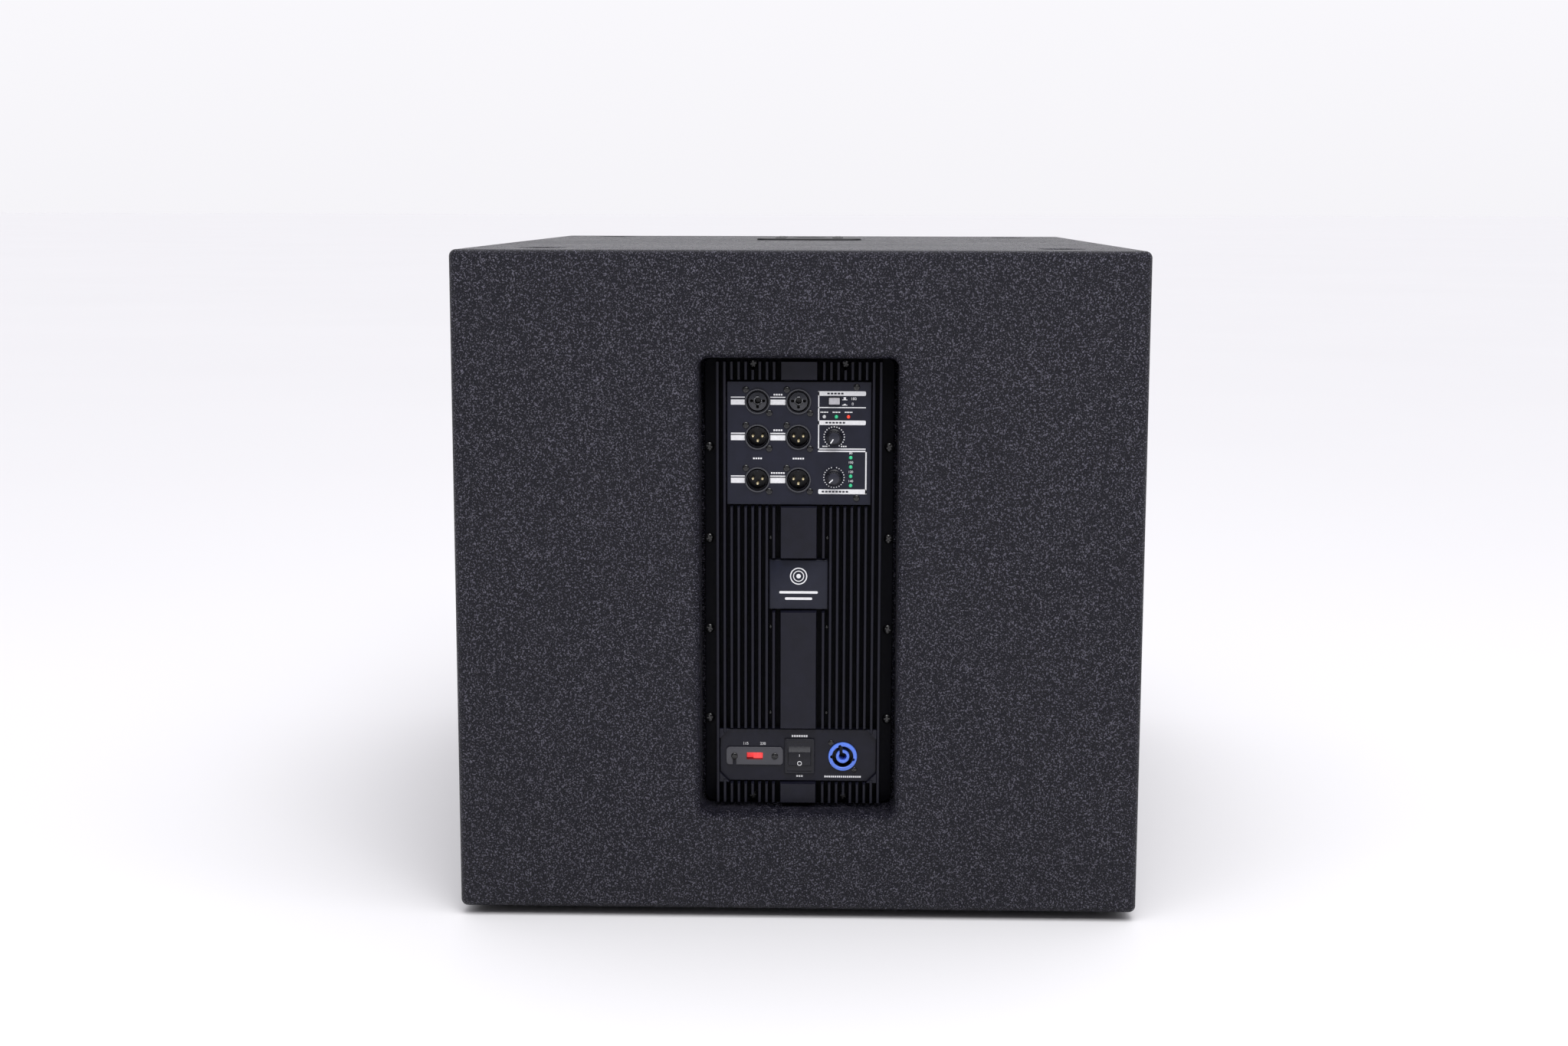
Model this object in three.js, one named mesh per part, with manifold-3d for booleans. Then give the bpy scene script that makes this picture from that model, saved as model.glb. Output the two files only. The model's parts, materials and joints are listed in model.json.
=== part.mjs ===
// Powered bass cabinet: one 18-inch woofer in a braced plywood cabinet, with a plate amplifier
// let into the rear panel behind a cooling-fin casting.
// Millimetres, +Z up. The origin is on the floor under the middle of the cabinet.
// The grille faces -Y and the amplifier panel faces +Y.
import * as THREE from "three";
import { mergeVertices } from "three/addons/utils/BufferGeometryUtils.js";
import { RoundedBoxGeometry } from "three/addons/geometries/RoundedBoxGeometry.js";
import Module from "manifold-3d";

const wasm = await Module();
wasm.setup();

// ---------------------------------------------------------------- shared clearances
const GAP = 0.3; // between fixed pieces that touch
const RUNNING = 0.4; // around a piece that moves
const THROUGH = 5; // how far a cutter passes beyond the face that it opens
const JOIN = 1; // how far one solid of a piece reaches into the next

// ---------------------------------------------------------------- cabinet
const CABINET_WIDTH = 600;
const CABINET_HEIGHT = 582; // without the feet
const CABINET_DEPTH = 810;
const PLY = 18;
const EDGE_RADIUS = 10;
const FOOT_HEIGHT = 8;
const FOOT_RADIUS = 19;
const FOOT_CHAMFER = 3;
const FOOT_SIDE_INSET = 70; // foot centre to the cabinet's side
const FOOT_END_INSET = 80; // foot centre to the cabinet's front or back
const DIMPLE_RADIUS = 22; // stacking dimple in the top, one over each foot
const DIMPLE_DEPTH = 3;
const PORT_HEIGHT = 60; // slot port under the baffle
const PORT_LENGTH = 430; // shelf behind the baffle
const BAFFLE_RECESS = 58; // baffle face behind the cabinet's front edge
const BRACE_WIDTH = 40;
const BRACE_AHEAD_OF_HOUSING = 115.7; // brace to the amplifier's housing

// ---------------------------------------------------------------- grille
const GRILLE_INSET = 4; // behind the cabinet's front edge
const GRILLE_SHEET = 2;
const GRILLE_RETURN = 22; // depth of the folded rim
const GRILLE_MARGIN = 1.5; // between the rim and the cabinet
const FOAM_THICKNESS = 8;

// ---------------------------------------------------------------- side handles
const HANDLE_LENGTH = 200; // flange, along Y
const HANDLE_HEIGHT = 140; // flange, along Z
const HANDLE_FLANGE = 2.5;
const HANDLE_RIM = 20; // flange width around the dish
const HANDLE_DISH_DEPTH = 58;
const HANDLE_DISH_WALL = 2;
const GRIP_RADIUS = 11;
const GRIP_BEHIND_FACE = 16; // grip centre behind the cabinet's side
const HANDLE_FORWARD = 60; // handle centre in front of the cabinet's middle
const HANDLE_ABOVE = 40; // handle centre above the cabinet's middle

// ---------------------------------------------------------------- pole socket
const POLE_FLANGE = 113; // square flange
const POLE_FLANGE_THICKNESS = 1.6;
const POLE_BORE_RADIUS = 17.75; // takes a 35 mm pole
const POLE_TUBE_WALL = 3;
const POLE_TUBE_LENGTH = 85;
const POLE_FROM_FRONT = 243;

// ---------------------------------------------------------------- woofer
const FRAME_RADIUS = 230;
const FRAME_BORE_RADIUS = 208;
const FRAME_FLANGE = 8;
const FRAME_GASKET = 2.4;
const FRAME_WALL = 8;
const FRAME_CUTOUT_CLEARANCE = 1; // bowl to the baffle's cut-out
const FRAME_GASKET_INSET = 1; // gasket edge inside the frame's edge
const FRAME_DEPTH = 128; // baffle face to the magnet's front plate
const FRAME_FOOT_RADIUS = 124;
const FRAME_SPOKES = 8;
const SPOKE_WINDOW = 64;
const FRAME_SEAT_RADIUS = 62; // bore of the frame where the front plate bolts on
const COIL_RADIUS = 50;
const COIL_WALL = 1.6;
const COIL_CLEARANCE = 1.5; // coil to the iron on each side
const COIL_LENGTH = 88;
const COIL_AHEAD_OF_NECK = 4;
const CONE_THICKNESS = 2.4;
const CONE_NECK_DEPTH = 64; // neck behind the baffle face
const SURROUND_SPAN = 21; // cone's edge to the frame's bore
const SURROUND_THICKNESS = 1.2;
const SURROUND_LIP = 8;
const DUST_CAP_RADIUS = 66;
const DUST_CAP_HEIGHT = 22;
const DUST_CAP_SHELL = 1.5;
const SPIDER_RADIUS = 128;
const SPIDER_DEPTH = 98;
const SPIDER_WAVE = 2.5; // half the height of a pleat
const SPIDER_PLEATS = 4;
const PLATE_RADIUS = 105;
const FRONT_PLATE_THICKNESS = 11;
const MAGNET_RADIUS = 110;
const MAGNET_BORE_STEP = 6; // magnet's bore outside the front plate's
const MAGNET_THICKNESS = 26;
const BACK_PLATE_THICKNESS = 14;
const VENT_RADIUS = 14;

// ---------------------------------------------------------------- amplifier casting
const AMP_BELOW_MIDDLE = 2; // amplifier centre below the cabinet's middle
const OPENING_WIDTH = 172;
const OPENING_HEIGHT = 402;
const OPENING_CORNER = 8;
const FLANGE_CLEARANCE_X = 3; // casting flange to the opening's side
const FLANGE_CLEARANCE_Z = 1.5;
const FLANGE_THICKNESS = 6;
const FIN_TIP_DEPTH = 22; // fin tips behind the rear face
const FIN_HEIGHT = 16;
const FIN_THICKNESS = 2.8;
const FIN_PITCH = 6.17;
const FINS_PER_SIDE = 9;
const SPINE_WIDTH = 32;
const SPINE_GAP = 4.4; // spine to the first fin
const FIN_END_INSET = 3; // fin end to the flange's end
const POCKET_DEPTH = 5; // pocket floor behind the fin tips
const POCKET_BEVEL = 2.2; // bevel on the fin ends around a pocket
const END_SCREW_X = 40.3;
const END_SCREW_INSET = 5.5; // screw centre to the flange's end
const END_SCREW_CLEARANCE = 4.6; // radius cut out of the fins
const AMP_GASKET = 2;
const LEDGE_WIDTH = 16; // wooden ledge that the casting seats on
const LEDGE_RIM = 30; // mounting frame around the opening

// ---------------------------------------------------------------- amplifier box
const HOUSING_DEPTH = 106;
const HOUSING_WALL = 2;
const HOUSING_CLEARANCE = 2; // housing to the ledge
const BOARD_THICKNESS = 1.6;
const BOARD_MARGIN = 4;
const CONTROL_BOARD_DEPTH = 50; // boards behind the rear face
const POWER_BOARD_DEPTH = 70;
const TRANSFORMER_RADIUS = 48;
const TRANSFORMER_HOLE = 14;
const TRANSFORMER_HEIGHT = 42;
const TRANSFORMER_Z = -79.5; // above the amplifier's centre
const AMP_BOARD_BOTTOM = -39.5;
const AMP_BOARD_TOP = 48;
const COIL_BLOCK = { width: 40, height: 30, length: 20 }; // output filter coils
const COIL_BLOCK_X = 30;
const COIL_BLOCK_Z = 10;
const CAPACITOR_BLOCK = { width: 30, height: 30, length: 35 };
const CAPACITOR_X = [-35, 5];
const RECTIFIER_BLOCK = { width: 20, height: 30, length: 15 };
const RECTIFIER_X = 40;
const PREAMP_BLOCK = { width: 50, height: 10, length: 10 };
const DSP_BLOCK = { width: 18, height: 18, length: 6 };
const LEAD_RADIUS = 3.5;

// ---------------------------------------------------------------- connector pocket
const CONNECTOR_POCKET_BOTTOM = 71; // above the amplifier's centre
const CONNECTOR_POCKET_HEIGHT = 108;
const CONNECTOR_POCKET_FINS = 7; // fins each side that the pocket cuts
const PLATE_THICKNESS = 2;
const PLATE_SEAT = 4.5; // ledge that carries the plate
const JACK_LEFT_X = -36.3;
const JACK_RIGHT_X = -0.6;
const COMBO_Z = 161.7;
const LINK_Z = 130.6;
const OUTPUT_Z = 93;
const JACK_RING_RADIUS = 11.2;
const JACK_RING_HEIGHT = 1.2;
const JACK_BARREL_RADIUS = 10;
const JACK_BARREL_LENGTH = 20;
const XLR_CUP_RADIUS = 8.5;
const XLR_CUP_DEPTH = 14;
const XLR_PIN_RADIUS = 1.2;
const XLR_PIN_LENGTH = 11;
const XLR_PIN_SPREAD = 4.25; // outer pins each side of the middle
const XLR_PIN_RAISED = 0.4;
const XLR_PIN_LOWERED = 3.9; // middle pin below the socket's centre
const COMBO_BORE_RADIUS = 3.6;
const COMBO_BORE_DEPTH = 16;
const COMBO_MOAT_DEPTH = 3;
const COMBO_DISC_RADIUS = 8.3;
const COMBO_DISC_RECESS = 0.8; // disc behind the ring's face
const COMBO_CUP_WALL = 1;
const COMBO_PIN_SCALE = 1.25; // contact holes outside the pins of a plain socket
const BUTTON_WIDTH = 9.5;
const BUTTON_HEIGHT = 5.8;
const BUTTON_STANDOUT = 3.2;
const BUTTON_STEM = 9;
const BUTTON_Z = 162.3;
const CONTROL_X = 30.6; // phase button and both knobs
const MASTER_Z = 130.8;
const DSP_Z = 95.3;
const KNOB_RADIUS = 5.7;
const KNOB_HEIGHT = 9;
const KNOB_SKIRT_RADIUS = 7.2;
const KNOB_SKIRT_HEIGHT = 1.4;
const KNOB_SHAFT_RADIUS = 3;
const KNOB_FLUTES = 10;
const KNOB_FLUTE_RADIUS = 0.7;
const KNOB_FLUTE_OUTSIDE = 0.35; // flute centre outside the knob's side
const KNOB_CHAMFER = 0.8;
const KNOB_POINTER_WIDTH = 0.9;
const KNOB_POINTER_DEPTH = 0.4;
const KNOB_POINTER_START = 0.8;
const KNOB_POINTER_MARGIN = 0.6; // pointer's end inside the knob's side
const MASTER_POINTER = 147; // degrees anticlockwise from upright, seen from behind
const DSP_POINTER = 133;
const LED_RADIUS = 1.6;
const LED_STANDOUT = 0.9;
const STATUS_LED_Z = 148.5;
const STATUS_LED_FIRST_X = 21.9;
const STATUS_LED_PITCH = 10.55;
const LIGHT_PIPE_BAR = 2; // bar that joins the four light pipes behind the plate
const MODE_LED_X = 45.2;
const MODE_LED_COUNT = 4;
const MODE_LED_PITCH = 8.2;
const MODE_LED_MIDDLE_Z = 100.4;

// ---------------------------------------------------------------- badge pocket
const BADGE_POCKET_HEIGHT = 44.4;
const BADGE_POCKET_FINS = 1;
const BADGE_THICKNESS = 1;
const BADGE_CORNER = 2;

// ---------------------------------------------------------------- power pocket
const POWER_POCKET_HEIGHT = 46.4;
const POWER_POCKET_MIDDLE = -154.2;
const POWER_POCKET_FINS = 8;
const POWER_POCKET_CORNER = 8;
const POWER_ROW_Z = -155;
const SELECTOR_X = -38.6;
const COVER_WIDTH = 50.5;
const COVER_HEIGHT = 16;
const COVER_CORNER = 3;
const COVER_THICKNESS = 1.6;
const COVER_SCREW_X = 18; // each side of the selector's centre
const COVER_SLOT = 3.2;
const SELECTOR_WINDOW_WIDTH = 14.5;
const SELECTOR_WINDOW_HEIGHT = 6.5;
const SELECTOR_BODY_WALL = 3;
const SELECTOR_BODY_DEPTH = 12;
const SLIDER_WIDTH = 8;
const SLIDER_BELOW_FACE = 0.8;
const SLIDER_DEPTH = 5;
const SLIDER_SLOT_WIDTH = 1.2; // slot for a screwdriver
const SLIDER_SLOT_DEPTH = 1;
const SWITCH_X = 1.4;
const BEZEL_WIDTH = 26.4;
const BEZEL_HEIGHT = 31.7;
const BEZEL_THICKNESS = 2;
const SWITCH_BODY_INSET = 1.8; // bezel edge to the body behind the panel
const SWITCH_BODY_DEPTH = 16;
const SWITCH_BODY_FLOOR = 4; // floor behind the rocker
const ROCKER_WIDTH = 20;
const ROCKER_HEIGHT = 24.8;
const ROCKER_TILT = 12; // degrees, rest tilt with the lower end pressed in
const ROCKER_PIVOT_DEPTH = 5.5; // pivot behind the bezel's face
const ROCKER_CREST = 8; // crests in front of the pivot
const ROCKER_CREST_INSET = 4.5; // crest to the rocker's end
const ROCKER_VALLEY = 6.6; // valley in front of the pivot
const ROCKER_END_CLEARANCE = 1.2; // lets the ends swing in the well
const INLET_X = 39.8;
const INLET_RADIUS = 12.8;
const INLET_STANDOUT = 2.5;
const INLET_BORE_RADIUS = 9.4;
const INLET_BORE_DEPTH = 15;
const INLET_CORE_RADIUS = 6.6;
const INLET_CORE_BORE_RADIUS = 3.3;
const INLET_CORE_SLOT = 3;
const INLET_CORE_RECESS = 1; // core behind the ring's face
const INLET_SLOT_MARGIN = 0.5; // slot's end inside the bore
const INLET_BARREL_RADIUS = 11;
const INLET_BARREL_LENGTH = 19;

// ---------------------------------------------------------------- derived places
const HALF_WIDTH = CABINET_WIDTH / 2;
const HALF_DEPTH = CABINET_DEPTH / 2;
const CABINET_BOTTOM = FOOT_HEIGHT;
const CABINET_TOP = FOOT_HEIGHT + CABINET_HEIGHT;
const CABINET_MIDDLE = FOOT_HEIGHT + CABINET_HEIGHT / 2;
const INSIDE_X = HALF_WIDTH - PLY;
const INSIDE_BOTTOM = CABINET_BOTTOM + PLY;
const INSIDE_TOP = CABINET_TOP - PLY;
const BAFFLE_FRONT = -HALF_DEPTH + BAFFLE_RECESS;
const BAFFLE_BACK = BAFFLE_FRONT + PLY;
const BAFFLE_BOTTOM = INSIDE_BOTTOM + PORT_HEIGHT;
const WOOFER_Z = (BAFFLE_BOTTOM + INSIDE_TOP) / 2;
const SHELF_BACK = BAFFLE_BACK + PORT_LENGTH;
const POLE_Y = -HALF_DEPTH + POLE_FROM_FRONT;
const AMP_Z = CABINET_MIDDLE - AMP_BELOW_MIDDLE;
const FLANGE_DEPTH = FIN_TIP_DEPTH + FIN_HEIGHT;
const FLANGE_BACK = FLANGE_DEPTH + FLANGE_THICKNESS;
const FLANGE_X = OPENING_WIDTH / 2 - FLANGE_CLEARANCE_X;
const FLANGE_Z = OPENING_HEIGHT / 2 - FLANGE_CLEARANCE_Z;
const FIN_Z = FLANGE_Z - FIN_END_INSET;
const LEDGE_DEPTH = FLANGE_BACK + AMP_GASKET + 2 * GAP;
const LEDGE_X = OPENING_WIDTH / 2 - LEDGE_WIDTH;
const LEDGE_Z = OPENING_HEIGHT / 2 - LEDGE_WIDTH;
const PANEL_DEPTH = FIN_TIP_DEPTH + POCKET_DEPTH; // face of the connector plate and power panel
const HOUSING_FRONT = FLANGE_BACK + GAP; // depth behind the rear face
const HOUSING_BACK = HOUSING_FRONT + HOUSING_DEPTH;
const BRACE_BACK = HALF_DEPTH - HOUSING_BACK - BRACE_AHEAD_OF_HOUSING;
const BRACE_FRONT = BRACE_BACK - PLY;
const CONE_EDGE_RADIUS = FRAME_BORE_RADIUS - SURROUND_SPAN;

// ---------------------------------------------------------------- solids
const TURN_SIDES = 28; // sides of a large round piece
const SMALL_SIDES = 16;
const TINY_SIDES = 8;
const ROLL_STEPS = 5;
const degrees = THREE.MathUtils.degToRad;

// A closed three.js geometry as a manifold solid.
function solidOf(geometry) {
  const bare = geometry.clone();
  bare.deleteAttribute("normal");
  bare.deleteAttribute("uv");
  bare.clearGroups();
  const merged = mergeVertices(bare, 1e-4);
  const corners = merged.index.array;
  const kept = [];
  for (let i = 0; i < corners.length; i += 3) {
    const [a, b, c] = corners.slice(i, i + 3);
    if (a !== b && b !== c && c !== a) kept.push(a, b, c);
  }
  const vertProperties = new Float32Array(merged.attributes.position.array);
  const triVerts = new Uint32Array(kept);
  return new wasm.Manifold(new wasm.Mesh({ numProp: 3, vertProperties, triVerts }));
}

function geometryOf(solid) {
  const mesh = solid.getMesh();
  const geometry = new THREE.BufferGeometry();
  geometry.setAttribute("position", new THREE.BufferAttribute(mesh.vertProperties, 3));
  geometry.setIndex(new THREE.BufferAttribute(mesh.triVerts, 1));
  geometry.computeVertexNormals();
  return geometry;
}

const joined = (...solids) => solids.reduce((whole, one) => whole.add(one));
const cut = (whole, ...cutters) => cutters.reduce((rest, one) => rest.subtract(one), whole);

// A block between low and high on each axis.
function block([x0, x1], [y0, y1], [z0, z1]) {
  const box = new THREE.BoxGeometry(x1 - x0, y1 - y0, z1 - z0);
  return solidOf(box.translate((x0 + x1) / 2, (y0 + y1) / 2, (z0 + z1) / 2));
}

const centred = (middle, size) => [middle - size / 2, middle + size / 2];

// A round bar along Y.
function barY(radius, [y0, y1], x = 0, z = 0, sides = SMALL_SIDES) {
  const bar = new THREE.CylinderGeometry(radius, radius, y1 - y0, sides);
  return solidOf(bar.translate(x, (y0 + y1) / 2, z));
}

// A round bar along Z.
function barZ(radius, [z0, z1], x = 0, y = 0, sides = SMALL_SIDES) {
  const bar = new THREE.CylinderGeometry(radius, radius, z1 - z0, sides).rotateX(Math.PI / 2);
  return solidOf(bar.translate(x, y, (z0 + z1) / 2));
}

// An outline drawn in X and Z, extruded along Y.
function slabY(shape, [y0, y1]) {
  const slab = new THREE.ExtrudeGeometry(shape, { depth: y1 - y0, bevelEnabled: false, curveSegments: 4 });
  return solidOf(slab.rotateX(Math.PI / 2).translate(0, y1, 0));
}

// An outline drawn in Y and Z, extruded along X.
function slabX(shape, [x0, x1]) {
  const slab = new THREE.ExtrudeGeometry(shape, { depth: x1 - x0, bevelEnabled: false, curveSegments: 4 });
  return solidOf(slab.rotateX(Math.PI / 2).rotateZ(Math.PI / 2).translate(x0, 0, 0));
}

// A rectangle with round corners, in the plane of the outline.
function roundedRectangle([u0, u1], [v0, v1], radius) {
  const shape = new THREE.Shape();
  shape.moveTo(u0 + radius, v0);
  shape.lineTo(u1 - radius, v0);
  shape.absarc(u1 - radius, v0 + radius, radius, -Math.PI / 2, 0);
  shape.lineTo(u1, v1 - radius);
  shape.absarc(u1 - radius, v1 - radius, radius, 0, Math.PI / 2);
  shape.lineTo(u0 + radius, v1);
  shape.absarc(u0 + radius, v1 - radius, radius, Math.PI / 2, Math.PI);
  shape.lineTo(u0, v0 + radius);
  shape.absarc(u0 + radius, v0 + radius, radius, Math.PI, 1.5 * Math.PI);
  return shape;
}

function polygon(...points) {
  return new THREE.Shape(points.map(([u, v]) => new THREE.Vector2(u, v)));
}

// A solid turned about the Y axis from [radius, y] points. The outline starts and ends on the
// axis, or closes on itself.
function turned(outline, sides = TURN_SIDES) {
  const points = outline.map(([radius, y]) => new THREE.Vector2(radius, y));
  const onAxis = points[0].x === 0 && points.at(-1).x === 0;
  if (THREE.ShapeUtils.area(points) < 0) points.reverse();
  if (!onAxis) points.push(points[0].clone());
  return solidOf(new THREE.LatheGeometry(points, sides));
}

const tube = (inner, outer, [y0, y1], sides = TURN_SIDES) =>
  turned(
    [
      [inner, y0],
      [outer, y0],
      [outer, y1],
      [inner, y1],
    ],
    sides,
  );

const arc = (x, y, radius, from, to, steps) =>
  Array.from({ length: steps + 1 }, (_, i) => {
    const angle = degrees(from + ((to - from) * i) / steps);
    return [x + radius * Math.cos(angle), y + radius * Math.sin(angle)];
  });

// ---------------------------------------------------------------- the object
const cabinet = new THREE.Group();
const finishes = {
  coating: [0x3c3c42, 0.85, 0],
  ply: [0xc9a877, 0.8, 0],
  steel: [0x1b1b1d, 0.55, 0.3],
  foam: [0x101010, 1, 0],
  rubber: [0x141414, 0.9, 0],
  casting: [0x2f3034, 0.6, 0.4],
  bright: [0xb9bcc2, 0.35, 0.9],
  zinc: [0x8d9095, 0.4, 0.8],
  ferrite: [0x24242a, 0.7, 0.1],
  paper: [0x17171a, 0.9, 0],
  cloth: [0xb5813f, 0.9, 0],
  board: [0x1d5a36, 0.6, 0],
  copper: [0xa4562a, 0.5, 0.6],
  plastic: [0x151517, 0.5, 0],
  panel: [0x34353b, 0.55, 0.1],
  button: [0xd8d8d8, 0.45, 0],
  red: [0xc4282a, 0.4, 0],
  blue: [0x2a5fd0, 0.45, 0],
  clear: [0xa9abb2, 0.3, 0],
  white: [0xf2f2f2, 0.3, 0],
  green: [0x2fa868, 0.3, 0],
};

function addPiece(parent, name, solid, finish) {
  const [color, roughness, metalness] = finishes[finish];
  const material = new THREE.MeshStandardMaterial({ color, roughness, metalness });
  const mesh = new THREE.Mesh(geometryOf(solid), material);
  mesh.name = name;
  parent.add(mesh);
  return mesh;
}

// ---------------------------------------------------------------- plywood cabinet
// The outer form, which rounds the outside edges of the five panels that meet there.
const outerForm = solidOf(
  new RoundedBoxGeometry(CABINET_WIDTH, CABINET_DEPTH, CABINET_HEIGHT, 2, EDGE_RADIUS).translate(
    0,
    0,
    CABINET_MIDDLE,
  ),
);
const fullDepth = [-HALF_DEPTH, HALF_DEPTH];
const between = [-INSIDE_X + GAP, INSIDE_X - GAP];

const handleY = -HANDLE_FORWARD;
const handleZ = CABINET_MIDDLE + HANDLE_ABOVE;
const handleDishLength = HANDLE_LENGTH - 2 * HANDLE_RIM;
const handleDishHeight = HANDLE_HEIGHT - 2 * HANDLE_RIM;

for (const [name, side] of [
  ["left", 1],
  ["right", -1],
]) {
  // Left and right are as seen from behind, so the left side is at +X.
  const spanX = (a, b) => [Math.min(side * a, side * b), Math.max(side * a, side * b)];
  const dishHole = block(
    spanX(INSIDE_X - THROUGH, HALF_WIDTH + THROUGH),
    centred(handleY, handleDishLength + 2 * GAP),
    centred(handleZ, handleDishHeight + 2 * GAP),
  );
  const flangeRebate = block(
    spanX(HALF_WIDTH - HANDLE_FLANGE - GAP, HALF_WIDTH + THROUGH),
    centred(handleY, HANDLE_LENGTH + 2 * GAP),
    centred(handleZ, HANDLE_HEIGHT + 2 * GAP),
  );
  const board = block(spanX(INSIDE_X, HALF_WIDTH), fullDepth, [CABINET_BOTTOM, CABINET_TOP]);
  addPiece(cabinet, `cabinet_${name}`, cut(board.intersect(outerForm), dishHole, flangeRebate), "coating");

  const flange = block(
    spanX(HALF_WIDTH - HANDLE_FLANGE, HALF_WIDTH),
    centred(handleY, HANDLE_LENGTH),
    centred(handleZ, HANDLE_HEIGHT),
  );
  const dish = block(
    spanX(HALF_WIDTH - HANDLE_DISH_DEPTH, HALF_WIDTH - GAP),
    centred(handleY, handleDishLength),
    centred(handleZ, handleDishHeight),
  );
  const hollow = block(
    spanX(HALF_WIDTH - HANDLE_DISH_DEPTH + HANDLE_DISH_WALL, HALF_WIDTH + THROUGH),
    centred(handleY, handleDishLength - 2 * HANDLE_DISH_WALL),
    centred(handleZ, handleDishHeight - 2 * HANDLE_DISH_WALL),
  );
  addPiece(cabinet, `handle_dish_${name}`, cut(joined(flange, dish), hollow), "steel");
  const gripEnds = centred(handleY, handleDishLength - 2 * HANDLE_DISH_WALL - 2 * GAP);
  const grip = barY(GRIP_RADIUS, gripEnds, side * (HALF_WIDTH - GRIP_BEHIND_FACE), handleZ);
  addPiece(cabinet, `handle_grip_${name}`, grip, "rubber");
}

const poleHole = barZ(
  POLE_BORE_RADIUS + POLE_TUBE_WALL + 2 * GAP,
  [INSIDE_TOP - THROUGH, CABINET_TOP + THROUGH],
  0,
  POLE_Y,
);
const footPlaces = [];
for (const x of [FOOT_SIDE_INSET - HALF_WIDTH, HALF_WIDTH - FOOT_SIDE_INSET])
  for (const y of [FOOT_END_INSET - HALF_DEPTH, HALF_DEPTH - FOOT_END_INSET]) footPlaces.push([x, y]);
const dimples = footPlaces.map(([x, y]) =>
  barZ(DIMPLE_RADIUS, [CABINET_TOP - DIMPLE_DEPTH, CABINET_TOP + THROUGH], x, y),
);
const topBoard = block(between, fullDepth, [INSIDE_TOP, CABINET_TOP]).intersect(outerForm);
addPiece(cabinet, "cabinet_top", cut(topBoard, poleHole, ...dimples), "coating");
const bottomBoard = block(between, fullDepth, [CABINET_BOTTOM, INSIDE_BOTTOM]).intersect(outerForm);
addPiece(cabinet, "cabinet_bottom", bottomBoard, "coating");

const insideHeight = [INSIDE_BOTTOM + GAP, INSIDE_TOP - GAP];
const openingHole = (depth) =>
  slabY(
    roundedRectangle(centred(0, OPENING_WIDTH), centred(AMP_Z, OPENING_HEIGHT), OPENING_CORNER),
    depth,
  );
const rearBoard = block(between, [HALF_DEPTH - PLY, HALF_DEPTH], insideHeight);
addPiece(
  cabinet,
  "cabinet_rear",
  cut(rearBoard, openingHole([HALF_DEPTH - PLY - THROUGH, HALF_DEPTH + THROUGH])),
  "coating",
);

const baffle = block(between, [BAFFLE_FRONT, BAFFLE_BACK], [BAFFLE_BOTTOM, INSIDE_TOP - GAP]);
const cutOutRadius = FRAME_BORE_RADIUS + FRAME_WALL / 2 + FRAME_CUTOUT_CLEARANCE;
const wooferHole = barY(
  cutOutRadius,
  [BAFFLE_FRONT - THROUGH, BAFFLE_BACK + THROUGH],
  0,
  WOOFER_Z,
  TURN_SIDES,
);
addPiece(cabinet, "front_baffle", cut(baffle, wooferHole), "coating");
addPiece(
  cabinet,
  "port_shelf",
  block(between, [BAFFLE_BACK + GAP, SHELF_BACK], [BAFFLE_BOTTOM, BAFFLE_BOTTOM + PLY]),
  "ply",
);
addPiece(
  cabinet,
  "port_divider",
  block(centred(0, PLY), [BAFFLE_BACK + GAP, SHELF_BACK], [INSIDE_BOTTOM + GAP, BAFFLE_BOTTOM - GAP]),
  "ply",
);
// Two half-lapped boards that stiffen the four walls in front of the amplifier. They stay clear of
// the port, and stand on its shelf if it reaches under them.
const braceSpan = [BRACE_FRONT, BRACE_BACK];
const portSpace = block(
  [-INSIDE_X, INSIDE_X],
  [BAFFLE_BACK, SHELF_BACK + GAP],
  [CABINET_BOTTOM, BAFFLE_BOTTOM + PLY + GAP],
);
addPiece(
  cabinet,
  "cross_brace",
  cut(
    joined(
      block(centred(0, BRACE_WIDTH), braceSpan, insideHeight),
      block(between, braceSpan, centred(CABINET_MIDDLE, BRACE_WIDTH)),
    ),
    portSpace,
  ),
  "ply",
);

// The wooden frame behind the rear panel deepens the opening and carries the casting on its ledge.
const frameOutside = block(
  centred(0, OPENING_WIDTH + 2 * LEDGE_RIM),
  [HALF_DEPTH - LEDGE_DEPTH - PLY, HALF_DEPTH - PLY - GAP],
  centred(AMP_Z, OPENING_HEIGHT + 2 * LEDGE_RIM),
);
const frameWay = block(
  centred(0, 2 * LEDGE_X),
  [HALF_DEPTH - LEDGE_DEPTH - PLY - THROUGH, HALF_DEPTH],
  centred(AMP_Z, 2 * LEDGE_Z),
);
addPiece(
  cabinet,
  "amp_mount_frame",
  cut(frameOutside, frameWay, openingHole([HALF_DEPTH - LEDGE_DEPTH, HALF_DEPTH])),
  "coating",
);

footPlaces.forEach(([x, y]) => {
  const outline = [
    [0, 0],
    [FOOT_RADIUS - FOOT_CHAMFER, 0],
    [FOOT_RADIUS, FOOT_CHAMFER],
    [FOOT_RADIUS, FOOT_HEIGHT - GAP],
    [0, FOOT_HEIGHT - GAP],
  ];
  const foot = addPiece(
    cabinet,
    `foot_${y < 0 ? "front" : "rear"}_${x > 0 ? "left" : "right"}`,
    turned(outline, SMALL_SIDES),
    "rubber",
  );
  foot.rotation.x = Math.PI / 2; // the turned axis stands up
  foot.position.set(x, y, 0);
});

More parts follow.
